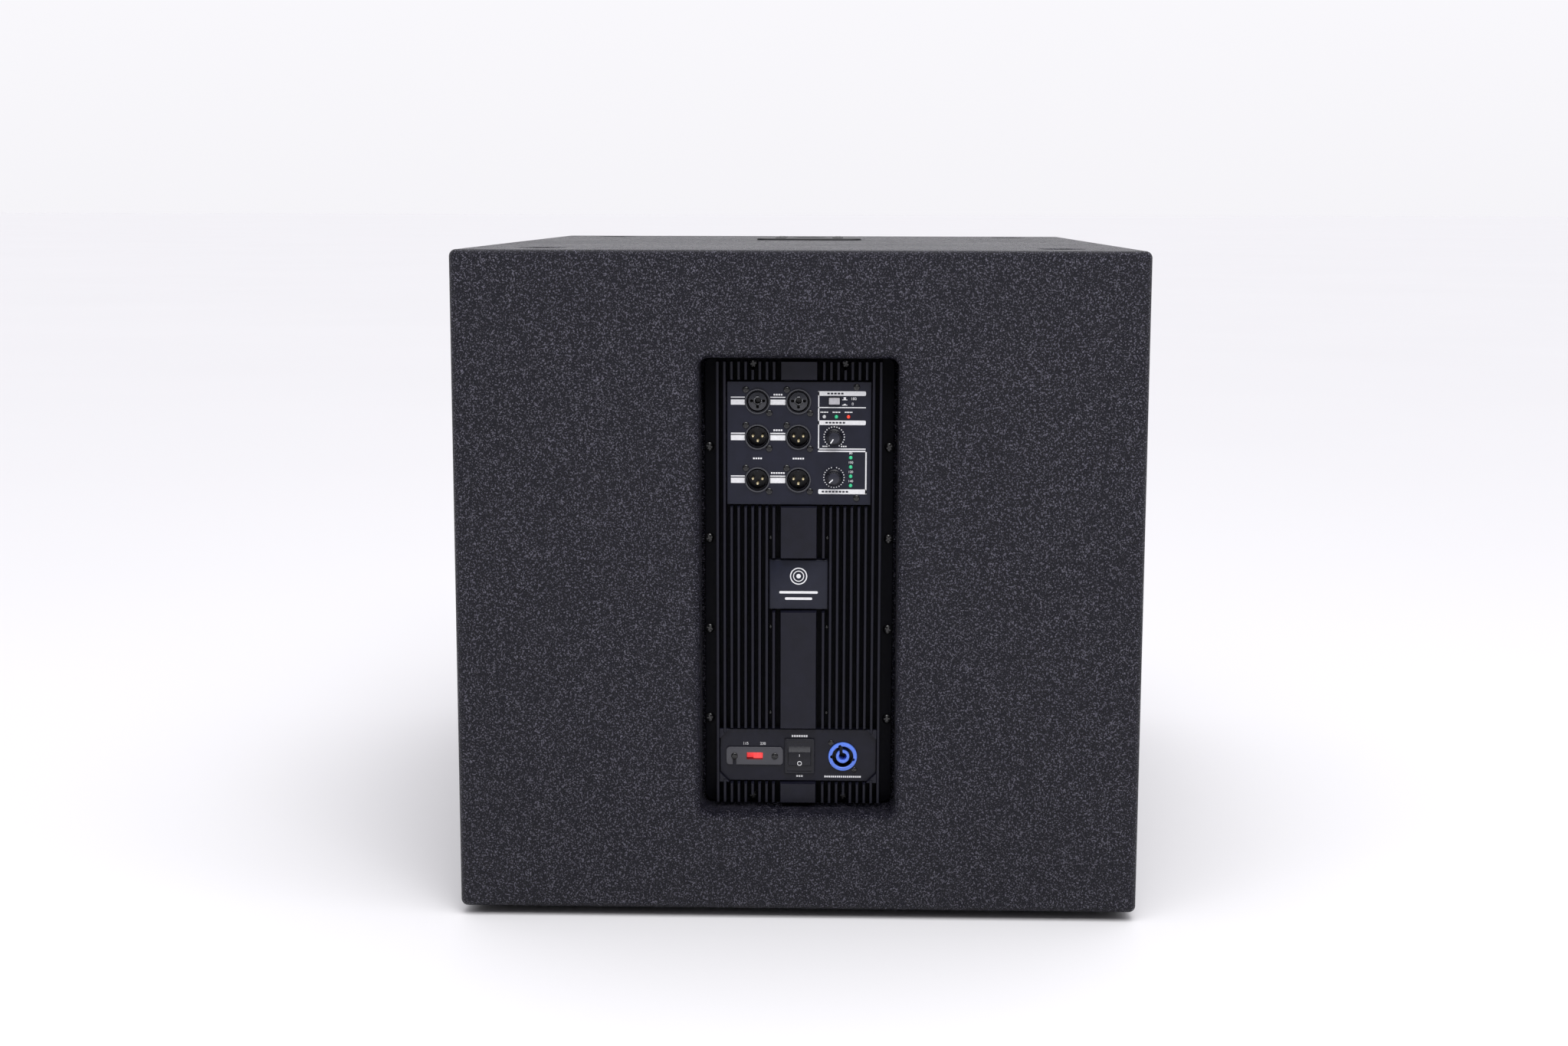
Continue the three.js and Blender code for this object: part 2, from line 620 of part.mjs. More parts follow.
// ---------------------------------------------------------------- grille
const grilleFront = -HALF_DEPTH + GRILLE_INSET;
const grilleX = INSIDE_X - GRILLE_MARGIN;
const grilleHeight = [INSIDE_BOTTOM + GRILLE_MARGIN, INSIDE_TOP - GRILLE_MARGIN];
const grilleBox = block([-grilleX, grilleX], [grilleFront, grilleFront + GRILLE_RETURN], grilleHeight);
const grilleInside = block(
  [GRILLE_SHEET - grilleX, grilleX - GRILLE_SHEET],
  [grilleFront + GRILLE_SHEET, grilleFront + GRILLE_RETURN + THROUGH],
  [grilleHeight[0] + GRILLE_SHEET, grilleHeight[1] - GRILLE_SHEET],
);
addPiece(cabinet, "front_grille", cut(grilleBox, grilleInside), "steel");
const foamEdge = GRILLE_SHEET + GAP;
addPiece(
  cabinet,
  "grille_foam",
  block(
    [foamEdge - grilleX, grilleX - foamEdge],
    [grilleFront + foamEdge, grilleFront + foamEdge + FOAM_THICKNESS],
    [grilleHeight[0] + foamEdge, grilleHeight[1] - foamEdge],
  ),
  "foam",
);

// ---------------------------------------------------------------- pole socket
const tubeOutside = POLE_BORE_RADIUS + POLE_TUBE_WALL;
const socketBottom = CABINET_TOP - POLE_TUBE_LENGTH;
const socketFlange = block(
  centred(0, POLE_FLANGE),
  centred(POLE_Y, POLE_FLANGE),
  [CABINET_TOP + GAP, CABINET_TOP + GAP + POLE_FLANGE_THICKNESS],
);
const socketTube = barZ(tubeOutside, [socketBottom, CABINET_TOP + JOIN], 0, POLE_Y);
const socketBore = barZ(
  POLE_BORE_RADIUS,
  [socketBottom + POLE_TUBE_WALL, CABINET_TOP + POLE_FLANGE_THICKNESS + THROUGH],
  0,
  POLE_Y,
);
addPiece(cabinet, "pole_socket", cut(joined(socketFlange, socketTube), socketBore), "steel");

// ---------------------------------------------------------------- woofer
// Its own frame: y = 0 on the baffle's face, +y into the cabinet, on the woofer's axis.
const woofer = new THREE.Group();
woofer.position.set(0, BAFFLE_FRONT, WOOFER_Z);
cabinet.add(woofer);

addPiece(
  woofer,
  "woofer_gasket",
  tube(cutOutRadius, FRAME_RADIUS - FRAME_GASKET_INSET, [-GAP - FRAME_GASKET, -GAP]),
  "foam",
);
const frameBack = -FRAME_GASKET - 2 * GAP;
const frameFront = frameBack - FRAME_FLANGE;
const bowlRadius = FRAME_BORE_RADIUS + FRAME_WALL / 2;
const bowl = turned([
  [FRAME_BORE_RADIUS, frameFront],
  [FRAME_RADIUS, frameFront],
  [FRAME_RADIUS, frameBack],
  [bowlRadius, frameBack],
  [bowlRadius, PLY],
  [FRAME_FOOT_RADIUS, FRAME_DEPTH - FRAME_WALL],
  [FRAME_FOOT_RADIUS, FRAME_DEPTH],
  [FRAME_SEAT_RADIUS, FRAME_DEPTH],
  [FRAME_SEAT_RADIUS, FRAME_DEPTH - FRAME_WALL],
  [FRAME_FOOT_RADIUS - FRAME_WALL, FRAME_DEPTH - FRAME_WALL],
  [bowlRadius - FRAME_WALL, PLY],
  [FRAME_BORE_RADIUS, 0],
]);
const spokeWindow = block(
  [FRAME_FOOT_RADIUS - 2 * FRAME_WALL, FRAME_RADIUS],
  [PLY + FRAME_WALL, FRAME_DEPTH - 3 * FRAME_WALL],
  centred(0, SPOKE_WINDOW),
);
const spokeWindows = Array.from({ length: FRAME_SPOKES }, (_, i) =>
  spokeWindow.rotate([0, (i * 360) / FRAME_SPOKES, 0]),
);
addPiece(woofer, "woofer_frame", cut(bowl, ...spokeWindows), "casting");

const plateFront = FRAME_DEPTH + GAP;
const magnetFront = plateFront + FRONT_PLATE_THICKNESS + GAP;
const backFront = magnetFront + MAGNET_THICKNESS + GAP;
const poleRadius = COIL_RADIUS - COIL_CLEARANCE;
const gapRadius = COIL_RADIUS + COIL_WALL + COIL_CLEARANCE;
addPiece(woofer, "front_plate", tube(gapRadius, PLATE_RADIUS, [plateFront, magnetFront - GAP]), "zinc");
addPiece(
  woofer,
  "ring_magnet",
  tube(gapRadius + MAGNET_BORE_STEP, MAGNET_RADIUS, [magnetFront, backFront - GAP]),
  "ferrite",
);
addPiece(
  woofer,
  "back_plate",
  turned([
    [VENT_RADIUS, plateFront],
    [poleRadius, plateFront],
    [poleRadius, backFront],
    [PLATE_RADIUS, backFront],
    [PLATE_RADIUS, backFront + BACK_PLATE_THICKNESS],
    [VENT_RADIUS, backFront + BACK_PLATE_THICKNESS],
  ]),
  "zinc",
);

const coilFront = CONE_NECK_DEPTH - COIL_AHEAD_OF_NECK;
addPiece(
  woofer,
  "voice_coil",
  tube(COIL_RADIUS, COIL_RADIUS + COIL_WALL, [coilFront, coilFront + COIL_LENGTH]),
  "copper",
);
const neckRadius = COIL_RADIUS + COIL_WALL + GAP;
const coneEdge = frameFront + GAP + CONE_THICKNESS;
addPiece(
  woofer,
  "woofer_cone",
  turned([
    [neckRadius, CONE_NECK_DEPTH],
    [CONE_EDGE_RADIUS, coneEdge],
    [CONE_EDGE_RADIUS, coneEdge + CONE_THICKNESS],
    [neckRadius, CONE_NECK_DEPTH + CONE_THICKNESS],
  ]),
  "paper",
);
const coneSlope = (CONE_NECK_DEPTH - coneEdge) / (CONE_EDGE_RADIUS - neckRadius);
const coneFaceAt = (radius) => CONE_NECK_DEPTH - (radius - neckRadius) * coneSlope;
// The dust cap is a shell between two parabolas that meet the cone at its rim.
const capRim = coneFaceAt(DUST_CAP_RADIUS) - DUST_CAP_SHELL - GAP;
const capY = (radius) => capRim - DUST_CAP_HEIGHT * (1 - (radius / DUST_CAP_RADIUS) ** 2);
const capSteps = Array.from({ length: 5 }, (_, i) => (DUST_CAP_RADIUS * i) / 4);
addPiece(
  woofer,
  "dust_cap",
  turned([
    ...capSteps.map((radius) => [radius, capY(radius)]),
    ...capSteps.toReversed().map((radius) => [radius, capY(radius) + DUST_CAP_SHELL]),
  ]),
  "paper",
);
// The surround is a half roll between the cone's edge and the frame, with a flat lip on each.
const rollRadius = (FRAME_BORE_RADIUS - CONE_EDGE_RADIUS) / 2;
const rollMiddle = (FRAME_BORE_RADIUS + CONE_EDGE_RADIUS) / 2;
const lipBack = frameFront - GAP;
const lipFront = lipBack - SURROUND_THICKNESS;
addPiece(
  woofer,
  "surround",
  turned([
    [FRAME_BORE_RADIUS + SURROUND_LIP, lipBack],
    ...arc(rollMiddle, lipBack, rollRadius - SURROUND_THICKNESS, 0, -180, ROLL_STEPS),
    [CONE_EDGE_RADIUS - SURROUND_LIP, lipBack],
    [CONE_EDGE_RADIUS - SURROUND_LIP, lipFront],
    ...arc(rollMiddle, lipFront, rollRadius, -180, 0, ROLL_STEPS),
    [FRAME_BORE_RADIUS + SURROUND_LIP, lipFront],
  ]),
  "rubber",
);
// The spider is a ring of cloth pleated into zigzag corrugations.
const spiderSteps = Array.from({ length: 2 * SPIDER_PLEATS + 1 }, (_, i) => i);
const spiderInside = neckRadius + GAP;
const spiderPoint = (step, lift) => [
  spiderInside + ((SPIDER_RADIUS - spiderInside) * step) / (2 * SPIDER_PLEATS),
  SPIDER_DEPTH + (step % 2 ? SPIDER_WAVE : -SPIDER_WAVE) + lift,
];
addPiece(
  woofer,
  "spider",
  turned([
    ...spiderSteps.map((step) => spiderPoint(step, 0)),
    ...spiderSteps.toReversed().map((step) => spiderPoint(step, SURROUND_THICKNESS)),
  ]),
  "cloth",
);

// ---------------------------------------------------------------- amplifier
// Its own frame, seen from behind the cabinet: x to the right, y into the cabinet from the rear
// face, and z up from the amplifier's centre.
const amp = new THREE.Group();
amp.rotation.z = Math.PI;
amp.position.set(0, HALF_DEPTH, AMP_Z);
cabinet.add(amp);

const finX = (i) => SPINE_WIDTH / 2 + SPINE_GAP + FIN_THICKNESS / 2 + i * FIN_PITCH;
// Half the width of a pocket that stops short of the next uncut fin.
const pocketX = (fins) => finX(fins) - FIN_THICKNESS / 2 - 2 * GAP;

// A pocket with its floor at a depth behind the rear face, and bevelled fin ends above and below.
function pocketCut(halfWidth, [z0, z1], shape) {
  const reach = FIN_TIP_DEPTH - THROUGH;
  const bevel = (edge, away) =>
    slabX(
      polygon(
        [reach, edge - away * POCKET_BEVEL],
        [reach, edge + away * (POCKET_BEVEL + THROUGH)],
        [FIN_TIP_DEPTH + POCKET_BEVEL, edge],
        [FIN_TIP_DEPTH + POCKET_BEVEL, edge - away * POCKET_BEVEL],
      ),
      [-halfWidth, halfWidth],
    );
  return joined(slabY(shape, [reach, PANEL_DEPTH]), bevel(z1, 1), bevel(z0, -1));
}

const connectorX = pocketX(CONNECTOR_POCKET_FINS);
const connectorTop = CONNECTOR_POCKET_BOTTOM + CONNECTOR_POCKET_HEIGHT;
const badgeX = pocketX(BADGE_POCKET_FINS);
const powerX = pocketX(POWER_POCKET_FINS);
const connectorHeight = [CONNECTOR_POCKET_BOTTOM, connectorTop];
const badgeHeight = centred(0, BADGE_POCKET_HEIGHT);
const powerHeight = centred(POWER_POCKET_MIDDLE, POWER_POCKET_HEIGHT);
const rectangle = (halfWidth, [z0, z1]) =>
  polygon([-halfWidth, z0], [halfWidth, z0], [halfWidth, z1], [-halfWidth, z1]);
const powerShape = polygon(
  [-powerX, powerHeight[0] + POWER_POCKET_CORNER],
  [POWER_POCKET_CORNER - powerX, powerHeight[0]],
  [powerX - POWER_POCKET_CORNER, powerHeight[0]],
  [powerX, powerHeight[0] + POWER_POCKET_CORNER],
  [powerX, powerHeight[1] - POWER_POCKET_CORNER],
  [powerX - POWER_POCKET_CORNER, powerHeight[1]],
  [POWER_POCKET_CORNER - powerX, powerHeight[1]],
  [-powerX, powerHeight[1] - POWER_POCKET_CORNER],
);

const finRoot = FLANGE_DEPTH + FLANGE_THICKNESS / 2;
const finSpan = [FIN_TIP_DEPTH, finRoot];
const finHeight = [-FIN_Z, FIN_Z];
const flangeShape = roundedRectangle([-FLANGE_X, FLANGE_X], [-FLANGE_Z, FLANGE_Z], OPENING_CORNER);
let casting = slabY(flangeShape, [FLANGE_DEPTH, FLANGE_BACK]);
casting = casting.add(block(centred(0, SPINE_WIDTH), finSpan, finHeight));
for (let i = 0; i < FINS_PER_SIDE; i++)
  for (const side of [-1, 1])
    casting = casting.add(block(centred(side * finX(i), FIN_THICKNESS), finSpan, finHeight));
const floorDepth = [PANEL_DEPTH, finRoot];
casting = joined(
  casting,
  slabY(rectangle(connectorX, connectorHeight), floorDepth),
  slabY(rectangle(badgeX, badgeHeight), floorDepth),
  slabY(powerShape, floorDepth),
);
casting = cut(
  casting,
  pocketCut(connectorX, connectorHeight, rectangle(connectorX, connectorHeight)),
  pocketCut(badgeX, badgeHeight, rectangle(badgeX, badgeHeight)),
  pocketCut(powerX - POWER_POCKET_CORNER, powerHeight, powerShape),
);
// Seats for the connector plate and the badge, each its own thickness below the pocket's floor.
const seatFor = (halfWidth, height, thickness) =>
  slabY(rectangle(halfWidth, height), [FIN_TIP_DEPTH, PANEL_DEPTH + thickness + GAP]);
casting = cut(
  casting,
  seatFor(connectorX, connectorHeight, PLATE_THICKNESS),
  seatFor(badgeX, badgeHeight, BADGE_THICKNESS),
  block(
    [PLATE_SEAT - connectorX, connectorX - PLATE_SEAT],
    [PANEL_DEPTH, FLANGE_BACK + THROUGH],
    [CONNECTOR_POCKET_BOTTOM + PLATE_SEAT, connectorTop - PLATE_SEAT],
  ),
);
const endScrewZ = FLANGE_Z - END_SCREW_INSET;
for (const x of [-END_SCREW_X, END_SCREW_X])
  for (const z of [-endScrewZ, endScrewZ])
    casting = casting.subtract(barY(END_SCREW_CLEARANCE, [FIN_TIP_DEPTH - THROUGH, FLANGE_DEPTH], x, z));

const throughPanel = [PANEL_DEPTH - THROUGH, FLANGE_BACK + THROUGH];
const bodyWidth = BEZEL_WIDTH - 2 * SWITCH_BODY_INSET;
const bodyHeight = BEZEL_HEIGHT - 2 * SWITCH_BODY_INSET;
const selectorBodyWidth = SELECTOR_WINDOW_WIDTH + 2 * SELECTOR_BODY_WALL;
const selectorBodyHeight = SELECTOR_WINDOW_HEIGHT + 2 * SELECTOR_BODY_WALL;
casting = cut(
  casting,
  block(
    centred(SWITCH_X, bodyWidth + 2 * GAP),
    throughPanel,
    centred(POWER_ROW_Z, bodyHeight + 2 * GAP),
  ),
  block(
    centred(SELECTOR_X, selectorBodyWidth + 2 * GAP),
    throughPanel,
    centred(POWER_ROW_Z, selectorBodyHeight + 2 * GAP),
  ),
  barY(INLET_BARREL_RADIUS + GAP, throughPanel, INLET_X, POWER_ROW_Z),
);
addPiece(amp, "heatsink", casting, "casting");

const gasketInside = LEDGE_X - GAP;
addPiece(
  amp,
  "amp_gasket",
  cut(
    slabY(flangeShape, [FLANGE_BACK + GAP, FLANGE_BACK + GAP + AMP_GASKET]),
    block(
      [-gasketInside, gasketInside],
      [FLANGE_BACK, FLANGE_BACK + THROUGH],
      [GAP - LEDGE_Z, LEDGE_Z - GAP],
    ),
  ),
  "foam",
);

const housingX = LEDGE_X - HOUSING_CLEARANCE;
const housingZ = LEDGE_Z - HOUSING_CLEARANCE;
const innerX = housingX - HOUSING_WALL;
const innerZ = housingZ - HOUSING_WALL;
addPiece(
  amp,
  "amp_housing",
  cut(
    block([-housingX, housingX], [HOUSING_FRONT, HOUSING_BACK], [-housingZ, housingZ]),
    block([-innerX, innerX], [HOUSING_FRONT - THROUGH, HOUSING_BACK - HOUSING_WALL], [-innerZ, innerZ]),
  ),
  "zinc",
);

// ---------------------------------------------------------------- boards inside the housing
// A board with its component blocks standing on its inner face.
function board(x, z, depth, components) {
  const plain = block(x, [depth, depth + BOARD_THICKNESS], z);
  const blocks = components.map((part) =>
    block(
      centred(part.x, part.width),
      [depth + BOARD_THICKNESS / 2, depth + part.length],
      centred(part.z, part.height),
    ),
  );
  return joined(plain, ...blocks);
}
const boardX = [BOARD_MARGIN - innerX, innerX - BOARD_MARGIN];
addPiece(
  amp,
  "control_board",
  board(boardX, [CONNECTOR_POCKET_BOTTOM, connectorTop], CONTROL_BOARD_DEPTH, [
    { ...PREAMP_BLOCK, x: 0, z: COMBO_Z },
    { ...DSP_BLOCK, x: CONTROL_X, z: DSP_Z },
  ]),
  "board",
);
addPiece(
  amp,
  "amp_board",
  board(boardX, [AMP_BOARD_BOTTOM, AMP_BOARD_TOP], POWER_BOARD_DEPTH, [
    { ...COIL_BLOCK, x: -COIL_BLOCK_X, z: COIL_BLOCK_Z },
    { ...COIL_BLOCK, x: COIL_BLOCK_X, z: COIL_BLOCK_Z },
  ]),
  "board",
);
addPiece(
  amp,
  "power_board",
  board(boardX, [BOARD_MARGIN - innerZ, POWER_POCKET_MIDDLE + POWER_POCKET_HEIGHT / 2], POWER_BOARD_DEPTH, [
    ...CAPACITOR_X.map((x) => ({ ...CAPACITOR_BLOCK, x, z: POWER_POCKET_MIDDLE })),
    { ...RECTIFIER_BLOCK, x: RECTIFIER_X, z: POWER_POCKET_MIDDLE },
  ]),
  "board",
);
// The toroidal transformer stands on the housing's back between the two boards.
const transformer = addPiece(
  amp,
  "transformer",
  tube(TRANSFORMER_HOLE, TRANSFORMER_RADIUS, [0, TRANSFORMER_HEIGHT], SMALL_SIDES),
  "copper",
);
transformer.position.set(0, HOUSING_BACK - HOUSING_WALL - GAP - TRANSFORMER_HEIGHT, TRANSFORMER_Z);

// ---------------------------------------------------------------- connector plate
const plateSpan = [PANEL_DEPTH, PANEL_DEPTH + PLATE_THICKNESS];
const throughPlate = [PANEL_DEPTH - THROUGH, PANEL_DEPTH + PLATE_THICKNESS + THROUGH];
const jackPlaces = [
  ["combo_jack_left", JACK_LEFT_X, COMBO_Z],
  ["combo_jack_right", JACK_RIGHT_X, COMBO_Z],
  ["link_xlr_left", JACK_LEFT_X, LINK_Z],
  ["link_xlr_right", JACK_RIGHT_X, LINK_Z],
  ["output_xlr_left", JACK_LEFT_X, OUTPUT_Z],
  ["output_xlr_right", JACK_RIGHT_X, OUTPUT_Z],
];
const modeLedZ = Array.from(
  { length: MODE_LED_COUNT },
  (_, i) => MODE_LED_MIDDLE_Z + ((MODE_LED_COUNT - 1) / 2 - i) * MODE_LED_PITCH,
);
const statusLeds = ["led_power", "led_signal", "led_limit"].map((name, i) => [
  name,
  STATUS_LED_FIRST_X + i * STATUS_LED_PITCH,
  ["white", "green", "red"][i],
]);
let plate = slabY(
  rectangle(connectorX - GAP, [CONNECTOR_POCKET_BOTTOM + GAP, connectorTop - GAP]),
  plateSpan,
);
for (const [, x, z] of jackPlaces)
  plate = plate.subtract(barY(JACK_BARREL_RADIUS + GAP, throughPlate, x, z, SMALL_SIDES));
for (const z of [MASTER_Z, DSP_Z])
  plate = plate.subtract(barY(KNOB_SHAFT_RADIUS + RUNNING, throughPlate, CONTROL_X, z));
for (const [, x] of statusLeds)
  plate = plate.subtract(barY(LED_RADIUS + GAP, throughPlate, x, STATUS_LED_Z, TINY_SIDES));
for (const z of modeLedZ)
  plate = plate.subtract(barY(LED_RADIUS + GAP, throughPlate, MODE_LED_X, z, TINY_SIDES));
plate = plate.subtract(
  block(
    centred(CONTROL_X, BUTTON_WIDTH + 2 * RUNNING),
    throughPlate,
    centred(BUTTON_Z, BUTTON_HEIGHT + 2 * RUNNING),
  ),
);
addPiece(amp, "connector_plate", plate, "panel");

const ringSpan = [PANEL_DEPTH - GAP - JACK_RING_HEIGHT, PANEL_DEPTH - GAP];
const jackBack = PANEL_DEPTH + JACK_BARREL_LENGTH;

// The ring on the plate and the barrel through it, with a round cup open to the rear.
const jackShell = (cupRadius, cupDepth) =>
  cut(
    joined(
      barY(JACK_RING_RADIUS, ringSpan),
      barY(JACK_BARREL_RADIUS, [ringSpan[0] + JACK_RING_HEIGHT / 2, jackBack]),
    ),
    barY(cupRadius, [ringSpan[0] - THROUGH, ringSpan[0] + cupDepth]),
  );
const cupFloor = ringSpan[0] + XLR_CUP_DEPTH;
const pinPlaces = [
  [-XLR_PIN_SPREAD, XLR_PIN_RAISED],
  [XLR_PIN_SPREAD, XLR_PIN_RAISED],
  [0, -XLR_PIN_LOWERED],
];
const xlrSocket = () =>
  joined(
    jackShell(XLR_CUP_RADIUS, XLR_CUP_DEPTH),
    ...pinPlaces.map(([x, z]) =>
      barY(XLR_PIN_RADIUS, [cupFloor - XLR_PIN_LENGTH, cupFloor + JOIN], x, z, TINY_SIDES),
    ),
  );
const comboBore = [ringSpan[0], ringSpan[0] + COMBO_BORE_DEPTH];
const comboSocket = () =>
  cut(
    joined(
      jackShell(JACK_BARREL_RADIUS - COMBO_CUP_WALL, COMBO_MOAT_DEPTH),
      barY(COMBO_DISC_RADIUS, [ringSpan[0] + COMBO_DISC_RECESS, ringSpan[0] + COMBO_MOAT_DEPTH + JOIN]),
    ),
    barY(COMBO_BORE_RADIUS, comboBore),
    ...pinPlaces.map(([x, z]) =>
      barY(XLR_PIN_RADIUS, comboBore, COMBO_PIN_SCALE * x, COMBO_PIN_SCALE * z, TINY_SIDES),
    ),
  );
for (const [name, x, z] of jackPlaces) {
  const socket = name.startsWith("combo") ? comboSocket() : xlrSocket();
  addPiece(amp, name, socket, "plastic").position.set(x, 0, z);
}

const button = joined(
  block(
    centred(CONTROL_X, BUTTON_WIDTH),
    [PANEL_DEPTH - BUTTON_STANDOUT, PANEL_DEPTH + PLATE_THICKNESS + JOIN],
    centred(BUTTON_Z, BUTTON_HEIGHT),
  ),
  block(
    centred(CONTROL_X, BUTTON_HEIGHT / 2),
    [PANEL_DEPTH, PANEL_DEPTH + PLATE_THICKNESS + BUTTON_STEM],
    centred(BUTTON_Z, BUTTON_HEIGHT / 2),
  ),
);
addPiece(amp, "phase_button", button, "button");

// A fluted knob on a skirt and a shaft, with a notch on its face for the pointer.
function knob() {
  const skirtBack = PANEL_DEPTH - RUNNING;
  const faceDepth = skirtBack - KNOB_HEIGHT;
  const shaftEnd = PANEL_DEPTH + 2 * KNOB_HEIGHT;
  const body = turned(
    [
      [0, faceDepth],
      [KNOB_RADIUS - KNOB_CHAMFER, faceDepth],
      [KNOB_RADIUS, faceDepth + KNOB_CHAMFER],
      [KNOB_RADIUS, skirtBack - KNOB_SKIRT_HEIGHT],
      [KNOB_SKIRT_RADIUS, skirtBack - KNOB_SKIRT_HEIGHT / 2],
      [KNOB_SKIRT_RADIUS, skirtBack],
      [KNOB_SHAFT_RADIUS, skirtBack],
      [KNOB_SHAFT_RADIUS, shaftEnd],
      [0, shaftEnd],
    ],
    SMALL_SIDES,
  );
  const fluteSpan = [faceDepth - THROUGH, skirtBack - KNOB_SKIRT_HEIGHT - KNOB_CHAMFER];
  const fluteReach = KNOB_RADIUS + KNOB_FLUTE_OUTSIDE;
  const flutes = Array.from({ length: KNOB_FLUTES }, (_, i) => {
    const angle = degrees((360 * (i + 0.5)) / KNOB_FLUTES);
    return barY(
      KNOB_FLUTE_RADIUS,
      fluteSpan,
      fluteReach * Math.cos(angle),
      fluteReach * Math.sin(angle),
      TINY_SIDES,
    );
  });
  const pointer = block(
    centred(0, KNOB_POINTER_WIDTH),
    [faceDepth - THROUGH, faceDepth + KNOB_POINTER_DEPTH],
    [KNOB_POINTER_START, KNOB_RADIUS - KNOB_POINTER_MARGIN],
  );
  return cut(body, pointer, ...flutes);
}
for (const [name, z, angle] of [
  ["master_knob", MASTER_Z, MASTER_POINTER],
  ["dsp_knob", DSP_Z, DSP_POINTER],
]) {
  const mesh = addPiece(amp, name, knob(), "plastic");
  mesh.position.set(CONTROL_X, 0, z);
  mesh.rotation.y = degrees(-angle);
}

const ledSpan = [PANEL_DEPTH - LED_STANDOUT, CONTROL_BOARD_DEPTH - GAP];
for (const [name, x, color] of statusLeds)
  addPiece(amp, name, barY(LED_RADIUS, ledSpan, x, STATUS_LED_Z, TINY_SIDES), color);
const pipeBack = CONTROL_BOARD_DEPTH - GAP;
addPiece(
  amp,
  "mode_light_pipe",
  joined(
    block(
      centred(MODE_LED_X, 2 * LED_RADIUS),
      [pipeBack - LIGHT_PIPE_BAR, pipeBack],
      centred(MODE_LED_MIDDLE_Z, MODE_LED_COUNT * MODE_LED_PITCH),
    ),
    ...modeLedZ.map((z) =>
      barY(LED_RADIUS, [ledSpan[0], pipeBack - LIGHT_PIPE_BAR / 2], MODE_LED_X, z, TINY_SIDES),
    ),
  ),
  "green",
);

addPiece(
  amp,
  "badge_plate",
  slabY(
    roundedRectangle(
      [GAP - badgeX, badgeX - GAP],
      [badgeHeight[0] + GAP, badgeHeight[1] - GAP],
      BADGE_CORNER,
    ),
    [PANEL_DEPTH, PANEL_DEPTH + BADGE_THICKNESS],
  ),
  "plastic",
);

// ---------------------------------------------------------------- voltage selector
const selectorFace = PANEL_DEPTH;
const windowX = centred(SELECTOR_X, SELECTOR_WINDOW_WIDTH);
const windowZ = centred(POWER_ROW_Z, SELECTOR_WINDOW_HEIGHT);
addPiece(
  amp,
  "selector_body",
  cut(
    block(
      centred(SELECTOR_X, selectorBodyWidth),
      [selectorFace, selectorFace + SELECTOR_BODY_DEPTH],
      centred(POWER_ROW_Z, selectorBodyHeight),
    ),
    block(windowX, [selectorFace - THROUGH, selectorFace + SLIDER_BELOW_FACE + SLIDER_DEPTH + GAP], windowZ),
  ),
  "plastic",
);
const sliderRight = windowX[1] - RUNNING;
const sliderFace = selectorFace + SLIDER_BELOW_FACE;
addPiece(
  amp,
  "selector_slider",
  cut(
    block(
      [sliderRight - SLIDER_WIDTH, sliderRight],
      [sliderFace, sliderFace + SLIDER_DEPTH],
      [windowZ[0] + RUNNING, windowZ[1] - RUNNING],
    ),
    block(
      centred(sliderRight - SLIDER_WIDTH / 2, SLIDER_SLOT_WIDTH),
      [sliderFace - THROUGH, sliderFace + SLIDER_SLOT_DEPTH],
      windowZ,
    ),
  ),
  "red",
);
const coverFace = selectorFace - GAP - COVER_THICKNESS;
const coverShape = roundedRectangle(
  centred(SELECTOR_X, COVER_WIDTH),
  centred(POWER_ROW_Z, COVER_HEIGHT),
  COVER_CORNER,
);
const coverSlotX = centred(SELECTOR_X - COVER_SCREW_X, COVER_SLOT);
addPiece(
  amp,
  "selector_cover",
  cut(
    slabY(coverShape, [coverFace, coverFace + COVER_THICKNESS]),
    block(
      coverSlotX,
      [coverFace - THROUGH, coverFace + THROUGH],
      [POWER_ROW_Z - COVER_HEIGHT, POWER_ROW_Z],
    ),
  ),
  "clear",
);

// ---------------------------------------------------------------- power switch
const bezelFace = PANEL_DEPTH - GAP - BEZEL_THICKNESS;
const switchBack = bezelFace + BEZEL_THICKNESS + SWITCH_BODY_DEPTH;
const wellX = centred(SWITCH_X, ROCKER_WIDTH + 2 * RUNNING);
const wellZ = centred(POWER_ROW_Z, ROCKER_HEIGHT + 2 * RUNNING);
addPiece(
  amp,
  "switch_body",
  cut(
    joined(
      block(
        centred(SWITCH_X, BEZEL_WIDTH),
        [bezelFace, bezelFace + BEZEL_THICKNESS],
        centred(POWER_ROW_Z, BEZEL_HEIGHT),
      ),
      block(
        centred(SWITCH_X, bodyWidth),
        [bezelFace + BEZEL_THICKNESS / 2, switchBack],
        centred(POWER_ROW_Z, bodyHeight),
      ),
    ),
    block(wellX, [bezelFace - THROUGH, switchBack - SWITCH_BODY_FLOOR], wellZ),
  ),
  "plastic",
);
// The rocker's side outline about its pivot: two crests with a valley between them, ends that
// fall away from the crests, and a back that narrows so that it can tilt in the well.
const rockerHalf = ROCKER_HEIGHT / 2 - ROCKER_END_CLEARANCE;
const crestZ = rockerHalf - ROCKER_CREST_INSET;
const rockerOutline = polygon(
  [0, -rockerHalf],
  [-ROCKER_CREST, -crestZ],
  [-ROCKER_VALLEY, 0],
  [-ROCKER_CREST, crestZ],
  [0, rockerHalf],
  [ROCKER_PIVOT_DEPTH, rockerHalf - ROCKER_CREST_INSET],
  [ROCKER_PIVOT_DEPTH, ROCKER_CREST_INSET - rockerHalf],
);
const rocker = addPiece(amp, "power_rocker", slabX(rockerOutline, centred(0, ROCKER_WIDTH)), "plastic");
rocker.position.set(SWITCH_X, bezelFace + ROCKER_PIVOT_DEPTH, POWER_ROW_Z);
rocker.rotation.x = degrees(ROCKER_TILT);

